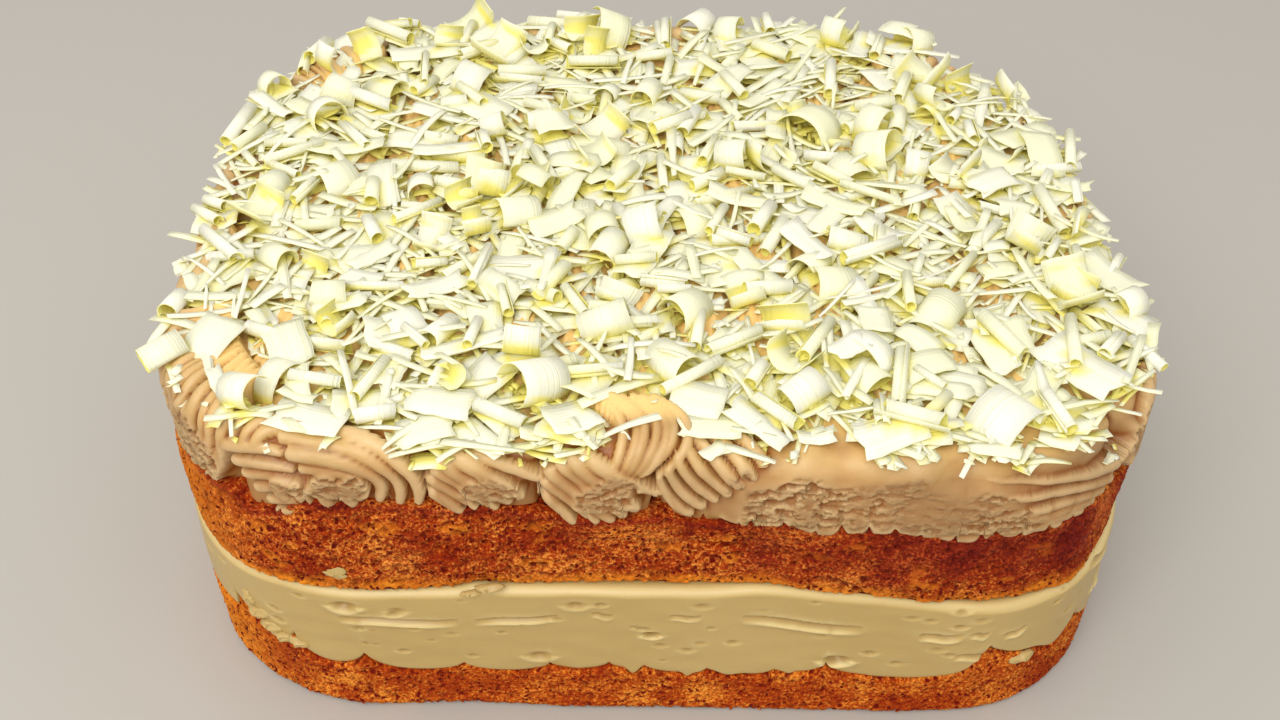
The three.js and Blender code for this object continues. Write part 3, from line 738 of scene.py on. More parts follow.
# The blobs that the photograph shows: where each starts and ends along the ring, its kind, and 1 or -1 for
# the way it was piped.
FRONT_BLOBS = [(-78.0, -31.0, "swirl", 1), (-31.0, 20.0, "long_roll", 1), (20.0, 46.0, "shell", 1)]
FRONT_BLOBS += [(46.0, 72.5, "shell", 1), (72.5, 190.0, "stacked_roll", 1)]
BLOB_WIDTHS = (26, 56)


def border_blobs():
    """All the blobs of the border: the front ones, and others like them round the sides and the back."""
    random = np.random.default_rng(3)
    blobs = list(FRONT_BLOBS)
    at, end = blobs[-1][1], PERIMETER + blobs[0][0]
    while at < end - 1:
        width = end - at if end - at < 60 else random.uniform(*BLOB_WIDTHS)
        kind = random.choice(["stacked_roll", "long_roll"] if width > 44 else ["shell", "shell", "swirl"])
        blobs.append((at, at + width, str(kind), 1 if random.random() < 0.6 else -1))
        at += width
    return blobs


def plateau(distance, near_slope=7.0, stacked_slope=19.0):
    """1 over each blob and 0 in the cusps between them. An end where ridges lie stacked slopes off slowly."""
    level = np.zeros_like(distance)
    for start, end, kind, way in blobs:
        half = (end - start) / 2
        off = around_of(distance, (start + end) / 2) * way
        far_slope = stacked_slope if kind == "stacked_roll" else near_slope
        rise = np.minimum((off + half) / near_slope, (half - off) / far_slope)
        level = np.maximum(level, np.sqrt(1 - (1 - np.clip(rise, 0, 1)) ** 2))
    return level


def torn_teeth(distance):
    """How far the torn lower edge hangs down: teeth of cream, each with its own width, length and slant."""
    random = np.random.default_rng(31)
    cuts = [0.0]
    while cuts[-1] < PERIMETER - 4:
        cuts.append(cuts[-1] + random.uniform(2.4, 8.5))
    cuts = np.array(cuts) * PERIMETER / cuts[-1]
    tooth = np.clip(np.searchsorted(cuts, distance, side="right") - 1, 0, len(cuts) - 2)
    width = np.diff(cuts)
    length = np.minimum(random.uniform(0.3, 1.1, len(width)) * width, 4.6) + 0.8
    slant, point = random.uniform(0.6, 1.7, len(width)), random.uniform(0.35, 1.2, len(width))
    share = np.clip((distance - cuts[tooth]) / width[tooth], 0, 1) ** slant[tooth]
    return length[tooth] * np.sin(math.pi * share) ** point[tooth]


blobs = border_blobs()
border_round = np.linspace(0, PERIMETER, BORDER_COLUMNS, endpoint=False)
border_x, _ = ring(border_round, 0)
border_base = cream_bottom(border_x, border_round) + GAP
border_low = -ARC - (CREAM_TO - SHOULDER - border_base) - torn_teeth(border_round)
border_low += CUSP_RISE * (1 - plateau(border_round, 5.0, 13.0)) ** 1.2
down_wall = np.linspace(0, 1, WALL_STEPS, endpoint=False)[:, None]
over_top = np.linspace(0, 1, TOP_STEPS)[:, None] ** 1.4
top_rows = np.tile(-ARC + (BORDER_DEPTH + ARC) * over_top, (1, BORDER_COLUMNS))
across = np.vstack([border_low + (-ARC - border_low) * down_wall, top_rows])
along_ring = np.tile(border_round, (len(across), 1))

# The relief is built up from the blobs: how far each place stands out, how hard it is pressed, how torn.
stand = np.full(across.shape, -CUSP_DEPTH) + (CUSP_DEPTH - 0.4) * plateau(border_round)
press = np.zeros(across.shape)
torn = np.full(across.shape, 0.8)


def ridge(blob, points, radius, lift=0.9, end_radius=None, end_lift=None):
    """Raises the border along one ridge of the nozzle: a curve between two places that bends towards a third,
    as round as its radius, which may change on the way. It is mirrored in a blob piped the other way."""
    start, end, way = blob
    end_radius = radius if end_radius is None else end_radius
    end_lift = lift if end_lift is None else end_lift
    first, bend, last = np.array([(s if way > 0 else start + end - s, q) for s, q in points], float)
    steps = np.linspace(0, 1, 15)[:, None]
    curve = first * (1 - steps) ** 2 + 2 * bend * steps * (1 - steps) + last * steps**2
    middle = curve[:, 0].mean()
    reach = np.abs(curve[:, 0] - middle).max() + max(radius, end_radius) + 1
    columns = np.nonzero(np.abs(around_of(border_round, middle)) < reach)[0]
    place_s = around_of(border_round[columns], middle)[None, :] + middle
    place_q = across[:, columns]
    nearest = np.full(place_q.shape, 1e9)
    share = np.zeros(place_q.shape)
    for i, (low, high) in enumerate(zip(curve[:-1], curve[1:])):
        run = high - low
        t = ((place_s - low[0]) * run[0] + (place_q - low[1]) * run[1]) / max(run @ run, 1e-6)
        t = np.clip(t, 0, 1)
        gap = np.hypot(place_s - low[0] - t * run[0], place_q - low[1] - t * run[1])
        share = np.where(gap < nearest, (i + t) / 14, share)
        nearest = np.minimum(nearest, gap)
    girth = (radius + (end_radius - radius) * share) * (1 - 0.2 * np.abs(2 * share - 1) ** 4)
    crest = lift + (end_lift - lift) * share + np.sqrt(np.clip(girth**2 - nearest**2, 0, None))
    stand[:, columns] = np.maximum(stand[:, columns], np.where(nearest < girth, crest, -CUSP_DEPTH))


def patch(start, end, low, high, amount, roughness, fade=4.0, side=5.0):
    """Cream pressed flat against the ring between two places along it and two across. It fades at its top."""
    middle, half = (start + end) / 2, (end - start) / 2
    off_s = np.clip((half - np.abs(around_of(along_ring, middle))) / side, 0, 1)
    torn_edge = high + 1.6 * np.sin(along_ring / 5.1 + 1.4 * np.sin(along_ring / 9))
    torn_edge += 1.0 * np.sin(along_ring / 2.3)
    off_q = np.clip((across - low) / 2, 0, 1) * np.clip((torn_edge - across) / fade, 0, 1)
    zone = smooth(off_s) * smooth(off_q)
    press[:] = np.maximum(press, amount * zone)
    torn[:] = np.where(zone > 0.3, roughness, torn)


def lowest_at(place):
    """The border's lower edge at a place along the ring, without its teeth."""
    x, _ = ring(np.array([place]), 0)
    return float(-ARC - (CREAM_TO - SHOULDER - cream_bottom(x, place)[0]))


def shell(start, end, way, random):
    """A shell: ridges fan out from its upper left, run down across it and meet at its lower right."""
    blob = (start, end, way)
    width, low = end - start, lowest_at((start + end) / 2)
    for f in np.linspace(0, 1, 6 if width < 40 else 9) + random.uniform(-0.02, 0.02):
        first = (start + width * (0.02 + 0.38 * abs(f) ** 1.8), -10.4 + 9.8 * (1 - (1 - f) ** 2))
        last = (start + width * (0.3 + 0.68 * f) + random.uniform(-1, 1), low + 10 * abs(f) ** 2.6)
        bend_q = (first[1] + last[1]) / 2 + 1.0 + random.uniform(-0.9, 1.6)
        bend = ((first[0] + last[0]) / 2 - 0.05 * width, bend_q)
        near, far = random.uniform(1.5, 2.3), random.uniform(1.3, 2.0)
        ridge(blob, [first, bend, last], near, random.uniform(0.3, 1.3), far, random.uniform(0.8, 1.6))
    middle = start + (0.6 if way > 0 else 0.4) * width
    patch(middle - 0.36 * width, middle + 0.3 * width, low + 3.5, -4.4, 3.8, 0.9, 5.0)


def long_roll(start, end, way, random):
    """A long roll whose ridges run along its top and wrap down round its far end, where they stop in finger
    tips. Its face is scraped flat, and at its near end the ridges stick out in fingers, one below another."""
    blob = (start, end, way)
    low = lowest_at((start + end) / 2)
    for k in range(6):
        first = (start + 14 + 3 * k, 4.6 - 3.1 * k)
        last = (end - 2.5 - 4.4 * k + random.uniform(-0.6, 0.6), low + 0.6 + random.uniform(-1.2, 1.0))
        radius = random.uniform(1.7, 2.1)
        ridge(blob, [first, (end + 1 - 3.7 * k, 5.2 - 3.0 * k), last], radius, 0.7, radius - 0.3, 1.1)
    for k in range(6):
        tip = (start + 1.5 + 2.7 * k + random.uniform(-0.8, 0.8), -4.6 - 3.1 * k)
        root = (tip[0] + 15 + random.uniform(-2, 2), tip[1] + 2 + random.uniform(-0.8, 0.8))
        bend = ((root[0] + tip[0]) / 2, root[1] + 0.8)
        if tip[1] > low - 6:
            ridge(blob, [root, bend, tip], 1.2, 0.2, random.uniform(1.8, 2.3), 1.0)
    for k in range(3):
        root, tip = (start + 12 + 5 * k, 7 - 1.5 * k), (start + 4 + 3 * k, -1.5 - 0.5 * k)
        ridge(blob, [root, (tip[0] + 1, root[1]), tip], 1.5, 0.4, 1.8)
    for k in range(int((end - start - 30) / 5)):
        place = start + 16 + 5 * k + random.uniform(-0.8, 0.8)
        tip = (place + 1.6, low - 0.4 + random.uniform(-0.8, 0.6))
        ridge(blob, [(place, low + 5), (place, low + 3), tip], 1.8, 1.2, 2.3)
    patch(start + 13, end - 11, low + 1.5, -6.5, 3.4, 0.55)


def stacked_roll(start, end, way, random):
    """A wide roll: curled ridges at its near end, a torn scraped face and a smooth top, and at its far end
    the nozzle's ridges lie stacked, each ending a little further out than the one below."""
    blob = (start, end, way)
    low = lowest_at(end - 20)
    for k in range(7):
        first, last = (start + 0.5 + 2.0 * k, -5 + 2.2 * k), (start + 7.5 + 2.7 * k, -16.5 + 2.6 * k)
        bend = (start + 2 + 2.6 * k, -12.5 + 3.0 * k)
        ridge(blob, [first, bend, last], random.uniform(1.2, 1.6), random.uniform(0.6, 1.1), 1.7)
    for k in range(6):
        last = (end - 22 + 19.5 * (k / 5) ** 0.62, low + 8.5 * (k / 5) ** 1.8)
        fall = 3 + 1.4 * k + random.uniform(-0.6, 0.6)
        first = (last[0] - 45 + random.uniform(-5, 5), last[1] + fall)
        middle = (last[0] - 16, last[1] + 0.45 * fall + random.uniform(-0.5, 0.8))
        ridge(blob, [first, middle, last], 0.6, -0.6, random.uniform(2.0, 2.3), 1.0)
    for k in range(5):
        place = start + 34 + 11 * k + random.uniform(-3, 3)
        foot = lowest_at(place)
        points = [(place, foot + 1), (place + 6, foot - random.uniform(0, 2.4)), (place + 14, foot + 1)]
        ridge(blob, points, random.uniform(1.6, 2.2), 0.8)
    patch(start + 10, end - 46, lowest_at(start + 30) - 1, 5, 4.2, 1.3, 13.0, 14.0)
    patch(end - 84, end - 17, low + 0.5, 2, 4.0, 0.6, 13.0, 26.0)


def swirl(start, end, way, random):
    """A short blob whose ridges climb from the wall over the shoulder and bend as they cross the top."""
    blob = (start, end, way)
    width, low = end - start, lowest_at((start + end) / 2)
    place = start + 1.5
    while place < end - 1:
        pitch = random.uniform(2.2, 4.4)
        foot = (place - 2 + random.uniform(-1.5, 1.5), lowest_at(place) + random.uniform(1.5, 5))
        bend = (place + 6 + random.uniform(-1, 1), 2 + random.uniform(-2, 2))
        ridge(blob, [(place - 5.5, 15), bend, foot], 0.6 * pitch, random.uniform(0.4, 1.2), 0.5 * pitch)
        place += pitch
    patch(start + 0.5 * width, end - 0.5, low + 1, -2, 4.0, 0.9, 7.0, 5.0)
    patch(start + 0.08 * width, start + 0.4 * width, low + 1, -5, 3.6, 0.8, 7.0, 7.0)


random = np.random.default_rng(17)
patterns = {"swirl": swirl, "long_roll": long_roll, "shell": shell, "stacked_roll": stacked_roll}
for start, end, kind, way in blobs:
    patterns[kind](start, end, way, random)

# A second helping was piped on top of the front, where one of its swirls stands higher than the rest. It has
# a middle along and across the border, half a length and half a width there, and a height.
HELPING = (57.0, 86.0, 1)
HELPING_AT = (71, 4.5)
HELPING_SIZE = (10, 11)
HELPING_HEIGHT = 2.0
off_s = around_of(along_ring, HELPING_AT[0]) / HELPING_SIZE[0]
helping_off = np.hypot(off_s, (across - HELPING_AT[1]) / HELPING_SIZE[1])
stand += HELPING_HEIGHT * smooth(1.15 - helping_off)
for k in range(7):
    bend = (72 + 2.3 * k + random.uniform(-1.5, 1.0), 7 - 0.4 * k)
    last = (60 + 2.2 * k, -7 + 0.6 * k + random.uniform(-1.0, 1.5))
    points = [(57 + 2.4 * k, 14), bend, last]
    ridge(HELPING, points, random.uniform(1.2, 1.6), random.uniform(2.5, 3.4), 1.2, 0.5)

# The border's even form, on which the relief stands: a wall, a rounded shoulder and a top.
off_shoulder = np.clip((across + ARC) / (2 * ARC), 0, 1) * math.pi / 2
outward, upward = np.cos(off_shoulder), np.sin(off_shoulder)
top_place = np.clip(across - ARC, 0, None)
base_inset = CREAM_INSET + SHOULDER * (1 - outward) + top_place
base_height = CREAM_TO - SHOULDER + SHOULDER * upward - np.clip(-ARC - across, 0, None)

# The ring held the cream back, so it is squeezed flat there, and where it stuck to the ring it is torn.
side_x, side_y = ring(along_ring, base_inset)
points = np.stack([side_x, side_y, base_height], -1).reshape(-1, 3)
stand += (0.45 * lumps(points, 11, 21) + 0.2 * lumps(points, 4, 22)).reshape(across.shape)
stand += press
limit = (base_inset - top_place - RING_MARGIN) / np.maximum(outward, 0.15)
limit = np.where(outward < 0.2, 99.0, limit)
scraped = smooth((stand - limit + 0.3) / 1.2)
spread = np.stack([along_ring, across * 2.3, np.zeros(across.shape)], -1).reshape(-1, 3)
rips = (lumps(spread, 5, 23) + 0.8 * lumps(spread, 2.1, 24)).reshape(across.shape)
flaps = (lumps(spread, 2.4, 26) + 0.6 * lumps(spread, 1.2, 27)).reshape(across.shape)
grainy = lumps(spread * [1, 0.6, 1], 1.4, 25).reshape(across.shape)
calm = 0.55 + 0.75 * smooth(0.5 + 1.4 * lumps(spread, 21, 28)).reshape(across.shape)
depth = 1.15 * smooth((rips - 0.05) / 0.16) + 0.5 * smooth((flaps - 0.05) / 0.18) + 0.14 * grainy
stand -= SMEAR * np.logaddexp(0, (stand - limit) / SMEAR) + scraped * torn * calm * depth

# What the cream's colour follows: painted shade in hollows between ridges and painted highlight on crests,
# painted light on the top, and painted glow where shavings lie on it.
painted_relief_shade_and_highlight = hollows(stand, 0.6, 3)
helping = smooth(1.3 - helping_off)
painted_top_light = smooth((across + ARC + 3) / (2 * ARC + 1)) * (1 - 0.8 * helping)
# Painted glow: where shavings lie, the cream is painted lighter and more golden, as light glowing through
# them.
painted_glow_under_shavings = np.maximum(smooth((across - 4) / 7), 0.15 * helping)

# Its lower lip curls in, and its inner edge sinks under the rows inside.
stand -= LIP_ROUND[0] * np.clip(1 - (across - border_low) / LIP_ROUND[1], 0, 1) ** 2
inner_edge = smooth((BORDER_DEPTH - across) / 6)
stand = stand * inner_edge - 2.5 * (1 - inner_edge)
insets = base_inset - stand * outward
heights = base_height + stand * upward
under_insets = [np.full(BORDER_COLUMNS, BORDER_DEPTH), insets[0] + 1.6]
under_heights = [border_base, np.maximum(heights[0] + 0.5, border_base)]
insets, heights = np.vstack([*under_insets, insets]), np.vstack([*under_heights, heights])


def coffee_cream():
    """Whipped cream with coffee and butter: soft satin and peach-beige, with its top painted paler as light
    from above. Faces torn from the ring are matt and browner. Painted shade makes the hollows between ridges
    a deep caramel and painted highlight makes the crests paler, and where shavings lie on it, it is painted
    lighter and more golden as light glowing through them."""
    made, tree = material("coffee_whipped_cream")
    place = add(tree, "ShaderNodeTexCoord", output="Object")
    torn_face = add(tree, "ShaderNodeAttribute", output="Fac", attribute_name="scraped")
    hollow = add(tree, "ShaderNodeAttribute", output="Fac", attribute_name="painted_relief_shade_and_highlight")
    top = add(tree, "ShaderNodeAttribute", output="Fac", attribute_name="painted_top_light")
    painted_glow_under_shavings = add(tree, "ShaderNodeAttribute", output="Fac", attribute_name="painted_glow_under_shavings")
    # The crests, where the relief stands out, are painted paler as highlight, and the hollows darker as
    # shade.
    crest = add(tree, "ShaderNodeMapRange", {"Value": hollow, 2: -1.0, 4: 0.6})
    colour = linear("#a67c4a")
    for share, other in (
        (top, "#c6a266"),
        (torn_face, "#977248"),
        (crest, "#ceb284"),
        (painted_glow_under_shavings, "#ecc67e"),
        (hollow, "#8c5014"),
    ):
        shades = {0: share, 6: colour, 7: linear(other)}
        colour = add(tree, "ShaderNodeMix", shades, output=2, data_type="RGBA")
    # The cream is unevenly mixed, in clouds about 22 mm wide.
    cloud = add(tree, "ShaderNodeTexNoise", {"Vector": place, "Scale": 45.0, "Detail": 3.0})
    lighter = add(tree, "ShaderNodeMapRange", {"Value": cloud, 1: 0.3, 2: 0.7, 3: 0.9, 4: 1.1})
    colour = add(tree, "ShaderNodeVectorMath", {0: colour, "Scale": lighter}, operation="SCALE")
    # It has fine bubbles and smears about a millimetre across, which show most where it is torn.
    bubbles = {"Vector": place, "Scale": 900.0, "Detail": 2.0, "Roughness": 0.6}
    fine = add(tree, "ShaderNodeTexNoise", bubbles)
    rough = add(tree, "ShaderNodeMapRange", {"Value": torn_face, 3: 0.3, 4: 0.9})
    bumps = add(tree, "ShaderNodeBump", {"Strength": rough, "Distance": 0.0004, "Height": fine})
    dull = add(tree, "ShaderNodeMapRange", {"Value": torn_face, 3: 0.45, 4: 0.8})
    body = {"Base Color": colour, "Roughness": dull, "Normal": bumps, "Subsurface Weight": 0.25}
    body |= {"Subsurface Radius": (1.0, 0.55, 0.25), "Subsurface Scale": 0.0015}
    shader = add(tree, "ShaderNodeBsdfPrincipled", body)
    add(tree, "ShaderNodeOutputMaterial", {"Surface": shader})
    return made


cream = coffee_cream()
rows = len(insets)
grid_x, grid_y = ring(np.tile(border_round, (rows, 1)), insets)
points = np.stack([grid_x, grid_y, heights], -1).reshape(-1, 3)
faces = grid_faces(rows, BORDER_COLUMNS)
first = (rows - 1) * BORDER_COLUMNS
for i in range(BORDER_COLUMNS):
    after = (i + 1) % BORDER_COLUMNS
    faces.append((first + i, first + after, after, i))
border = mesh_piece("piped_cream_border", points, faces, cream)
shades = {"scraped": scraped, "painted_relief_shade_and_highlight": painted_relief_shade_and_highlight * (1 - 0.5 * painted_glow_under_shavings), "painted_top_light": painted_top_light, "painted_glow_under_shavings": painted_glow_under_shavings}
for attribute, shares in shades.items():
    mark(border, attribute, np.vstack([np.zeros((2, BORDER_COLUMNS)), shares]))
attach(border, "root")
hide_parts("coffee_cream_with_shavings")


# Cream inside the border: rows of the same coffee cream piped from front to back, a little lower than the
# border. It carries the shavings, and its ridges show in the gaps between them.
ROPE_WIDTH = 15.0
RIDGE_PITCH = 3.1
ROPE_HEIGHT = 3.2
RIB_HEIGHT = 1.5
FIELD_STEP = 1.0
FIELD_INSET = BORDER_DEPTH - 3


def distance_inside(x, y):
    """How far points lie inside the ring, in millimetres."""
    outline = np.stack(ring(np.linspace(0, PERIMETER, 400, endpoint=False), 0), 1)
    gap = np.full(np.shape(x), 1e9)
    inside = np.zeros(np.shape(x), bool)
    for a, b in zip(outline, np.roll(outline, -1, 0)):
        run = b - a
        t = np.clip(((x - a[0]) * run[0] + (y - a[1]) * run[1]) / (run @ run), 0, 1)
        gap = np.minimum(gap, np.hypot(x - a[0] - t * run[0], y - a[1] - t * run[1]))
        crosses = (a[1] > y) != (b[1] > y)
        inside ^= crosses & (x < run[0] * (y - a[1]) / (run[1] if run[1] else 1e-9) + a[0])
    return np.where(inside, gap, -gap)


def piped_rows(x, y):
    """Height of the piped rows above the border's top: ropes side by side, each ribbed by the nozzle."""
    sway = 3.5 * np.sin(y / 27) + 1.5 * np.sin(y / 9 + x / 40)
    rope = np.abs(np.sin(math.pi * (x + sway) / ROPE_WIDTH)) ** 0.7
    ribs = np.abs(np.sin(math.pi * (x + sway * 1.6 + 2.2 * np.sin(y / 6)) / RIDGE_PITCH)) ** 0.8
    return ROPE_HEIGHT * rope + RIB_HEIGHT * ribs - 3.6


x_line = np.arange(-RING_WIDTH / 2, RING_WIDTH / 2 + FIELD_STEP, FIELD_STEP)
y_line = np.arange(-RING_DEPTH / 2, RING_DEPTH / 2 + FIELD_STEP, FIELD_STEP)
grid_x, grid_y = np.meshgrid(x_line, y_line)
depth_inside = distance_inside(grid_x, grid_y)
kept = depth_inside > FIELD_INSET - 6
count = kept.sum()
index_of = -np.ones(grid_x.shape, int)
index_of[kept] = np.arange(count)
quads = [index_of[:-1, :-1], index_of[:-1, 1:], index_of[1:, 1:], index_of[1:, :-1]]
quads = np.stack(quads, -1).reshape(-1, 4)
quads = quads[(quads >= 0).all(1)].tolist()
rows_shape = piped_rows(grid_x, grid_y)[kept]
sunk = -3.5 * (1 - smooth((depth_inside[kept] - FIELD_INSET + 5) / 8))
x, y = grid_x[kept], grid_y[kept]
top_points = np.stack([x, y, CREAM_TO + rows_shape + sunk], -1)
low_points = np.stack([x, y, CREAM_FROM - CREAM_FALL * x + 2 * GAP], -1)
# An edge that only one quad has is part of the field's outline, where its side wall stands.
sides = {}
for quad in quads:
    for a, b in zip(quad, quad[1:] + quad[:1]):
        if (b, a) in sides:
            del sides[(b, a)]
        else:
            sides[(a, b)] = True
faces = quads + [tuple(count + i for i in reversed(quad)) for quad in quads]
faces += [(b, a, count + a, count + b) for a, b in sides]
field = mesh_piece("piped_cream_rows", np.vstack([top_points, low_points]), faces, cream)
lowness = 1.0 - (rows_shape - rows_shape.min()) / np.ptp(rows_shape)
# The low parts of the rows are painted darker as shade; the whole field takes the painted top light and the
# painted glow of the shavings.
mark(field, "painted_relief_shade_and_highlight", np.concatenate([0.3 * smooth(lowness / 0.9), np.zeros(count)]))
mark(field, "painted_top_light", np.ones(2 * count))
mark(field, "painted_glow_under_shavings", np.ones(2 * count))
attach(field, "root")
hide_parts("coffee_cream_with_shavings")


# White chocolate shavings: sheets shaved off a block with a knife, curled along the cut and straight across
# it. They lie as they fell, piece by piece, each resting on what is already there, and cover all but a few
# gaps. For each kind: how many, length along the cut, width across it, how far it curls in radians, steps
# along and across, how steeply it may lie, how ragged its ends are, and how late it fell.
Kind = namedtuple("Kind", "count lengths widths curls steps lanes tilt ragged late")
SHAVINGS = {
    "wide_flakes": Kind(360, (9, 22), (5, 12), (0.05, 0.9), 6, 3, 0.12, 1.1, 0.35),
    "open_curls": Kind(80, (11, 22), (6, 13), (2.4, 4.8), 14, 2, 0.35, 0.35, 0.7),
    "big_curls": Kind(15, (17, 25), (9, 14), (2.6, 4.2), 16, 3, 0.45, 0.4, 0.9),
    "quills": Kind(190, (8, 14), (8, 20), (6.6, 9.0), 18, 1, 0.15, 0.35, 0.6),
    "slivers": Kind(1200, (8, 24), (1.0, 3.4), (0.0, 0.6), 5, 1, 0.1, 0.4, 0.3),
    "small_flakes": Kind(560, (5, 11), (2.2, 5.5), (0.1, 1.2), 5, 2, 0.18, 0.8, 0.0),
    "chocolate_crumbs": Kind(900, (1.2, 3.4), (0.8, 2.2), (0.1, 1.0), 2, 1, 0.6, 0.4, 0.1),
}
SHEET = 0.3
# Shavings narrower than this break off in a point.
POINTED = 3.4
PILE_STEP = 1.0
PILE_MARGIN = 10
PILE_TOP = 107.0
RAYS_FROM = 130.0
OVERHANG = 6.0
# Width of the patches that few shavings fell on, so that the cream shows there.
THIN_PATCH = 9.0
# Each shaving is dropped a few times within these bounds, turned a few ways each time, or upside down.
DROP_X = (-124, 122)
DROP_Y = (-101, 99)
DROPS = 3
TURNS = 4
UPSIDE_DOWN = 0.4
# It may stay where at least this share of it is held up, and at most that share lies over the bare front,
# from which the curled ones keep further back. It rests on all but the highest points of the ground.
HELD = 0.62
OVER_FRONT = 0.12
CURLS_KEEP_BACK = 9
GROUND_SHARE = 0.78
# Gaps in them along the front edge: place from left to right, half the length, and how far back they reach.
BARE_GAPS = [(1, 7, 12), (40, 8, 11), (-114, 16, 17), (118, 12, 22)]


def bare_front(x):
    """How far the front edge of the cream stays bare: little more than its rim, but more in a few gaps."""
    gaps = sum(deep * np.exp(-(((x - at) / half) ** 4)) for at, half, deep in BARE_GAPS)
    return gaps + 2.5 * np.sin(x / 7.3) * np.sin(x / 17) - 1.5


def shaved_sheet(random, length, width, turn, kind):
    """The middle surface of one shaving, as a grid of points: it tightens as it curls, and has torn ends."""
    steps, lanes, ragged = kind.steps, kind.lanes, kind.ragged
    share = np.linspace(0, 1, steps + 1)
    tighten = random.uniform(0.1, 0.6) if turn > 2.5 else 0.0
    step_turn = turn / steps / (1 - tighten * (share[:-1] - 0.5))
    heading = np.concatenate([[0], np.cumsum(step_turn)]) - step_turn.sum() / 2
    middle = (heading[1:] + heading[:-1]) / 2
    x = np.concatenate([[0], np.cumsum(np.cos(middle))]) * length / steps
    z = np.concatenate([[0], np.cumsum(np.sin(middle))]) * length / steps
    taper = 1 - random.uniform(0, 0.4) * share
    if width < POINTED:
        taper *= 1 - random.uniform(0, 0.8) * np.abs(share - random.random())
    y = width * taper[:, None] * np.linspace(-0.5, 0.5, lanes + 1)
    points = np.stack([np.tile(x[:, None], lanes + 1), y, np.tile(z[:, None], lanes + 1)], -1)
    tears = 0.3 * random.uniform(-ragged, ragged, (2, steps + 1))
    points[:, 0, 1] += tears[0]
    points[:, -1, 1] += tears[1]
    for end, way in ((0, -1), (-1, 1)):
        tear = random.uniform(-ragged, ragged, lanes + 1) * way
        points[end] += tear[:, None] * np.array([math.cos(heading[end]), 0, math.sin(heading[end])])
    points[..., 2] += random.uniform(-0.02, 0.02) * points[..., 0] * points[..., 1] / max(width, 3)
    return points - points.mean((0, 1))


def turn_matrix(roll, pitch, yaw):
    """A turn about a shaving's width, then its length, then the upright."""
    turn = Matrix.Rotation(yaw, 3, "Z") @ Matrix.Rotation(pitch, 3, "X") @ Matrix.Rotation(roll, 3, "Y")
    return np.array(turn)


def finer(points):
    """A grid of points with more points between, at most about a millimetre apart."""
    for axis in (0, 1):
        gaps = np.linalg.norm(np.diff(points, axis=axis), axis=-1).max()
        count = points.shape[axis]
        wanted = min(60, max(count, int(gaps * (count - 1) / PILE_STEP) + 2))
        at = np.linspace(0, count - 1, wanted)
        low = np.minimum(at.astype(int), count - 2)
        share = (at - low).reshape((-1, 1, 1) if axis == 0 else (1, -1, 1))
        points = np.take(points, low, axis) * (1 - share) + np.take(points, low + 1, axis) * share
    return points.reshape(-1, 3)


def pile_cells(points):
    """The rows and columns of the pile's grid that points lie over."""
    row = np.rint((points[..., 1] - pile_y[0]) / PILE_STEP).astype(int)
    column = np.rint((points[..., 0] - pile_x[0]) / PILE_STEP).astype(int)
    return row, column


def settle(random, points, tilt):
    """Lays a shaving down: of a few tries, it comes to rest in the one in which it lies lowest."""
    best = None
    samples = finer(points)
    curled = np.ptp(points[..., 2]) > 0.45 * np.ptp(points[..., 0])
    for _ in range(DROPS):
        x, y = random.uniform(*DROP_X), random.uniform(*DROP_Y)
        if noise.noise(Vector((x / THIN_PATCH, y / THIN_PATCH, 3.3))) > random.uniform(0.2, 0.68):
            continue
        overhang = OVERHANG * random.random() ** 2
        yaw = random.uniform(0, 2 * math.pi)
        flip = math.pi if random.random() < UPSIDE_DOWN else 0.0
        for _ in range(TURNS):
            roll = random.uniform(0, 2 * math.pi) if curled else flip + random.uniform(-tilt, tilt)
            turned = turn_matrix(roll, random.uniform(-tilt, tilt), yaw)
            at = samples @ turned.T + [x, y, 0]
            row, column = pile_cells(at)
            if row.min() < 0 or row.max() >= len(pile_y) or inside_ring[row, column].min() < -overhang:
                continue
            ground = pile[row, column]
            held = ground > 0
            front = bare_front(at[:, 0]) + CURLS_KEEP_BACK * curled
            if held.mean() < HELD or (at[:, 1] + RING_DEPTH / 2 < front).mean() > OVER_FRONT:
                continue
            lift = np.quantile((ground - at[:, 2])[held], GROUND_SHARE) + SHEET / 2
            level = lift + at[:, 2].mean()
            if (best is None or level < best[0]) and lift + at[:, 2].max() < PILE_TOP:
                best = (level, turned, np.array([x, y, lift]), (row, column), at[:, 2] + lift + SHEET / 2)
    if best is None:
        return None
    _, turned, place, cells, tops = best
    np.maximum.at(pile, cells, tops)
    return points @ turned.T + place


def sheet_faces(steps, lanes):
    """Faces of one closed sheet: its upper side, its lower side and the rim between them."""
    row, count = lanes + 1, (steps + 1) * (lanes + 1)
    upper = [(i * row + j, (i + 1) * row + j) for i in range(steps) for j in range(lanes)]
    upper = [(a, b, b + 1, a + 1) for a, b in upper]
    lower = [tuple(count + i for i in reversed(face)) for face in upper]
    rim = list(range(lanes)) + [i * row + lanes for i in range(steps)]
    rim += [steps * row + j for j in range(lanes, 0, -1)] + [i * row for i in range(steps, 0, -1)]
    sides = [(a, b, count + b, count + a) for a, b in zip(rim, rim[1:] + rim[:1])]
    return np.array(upper + lower + sides)


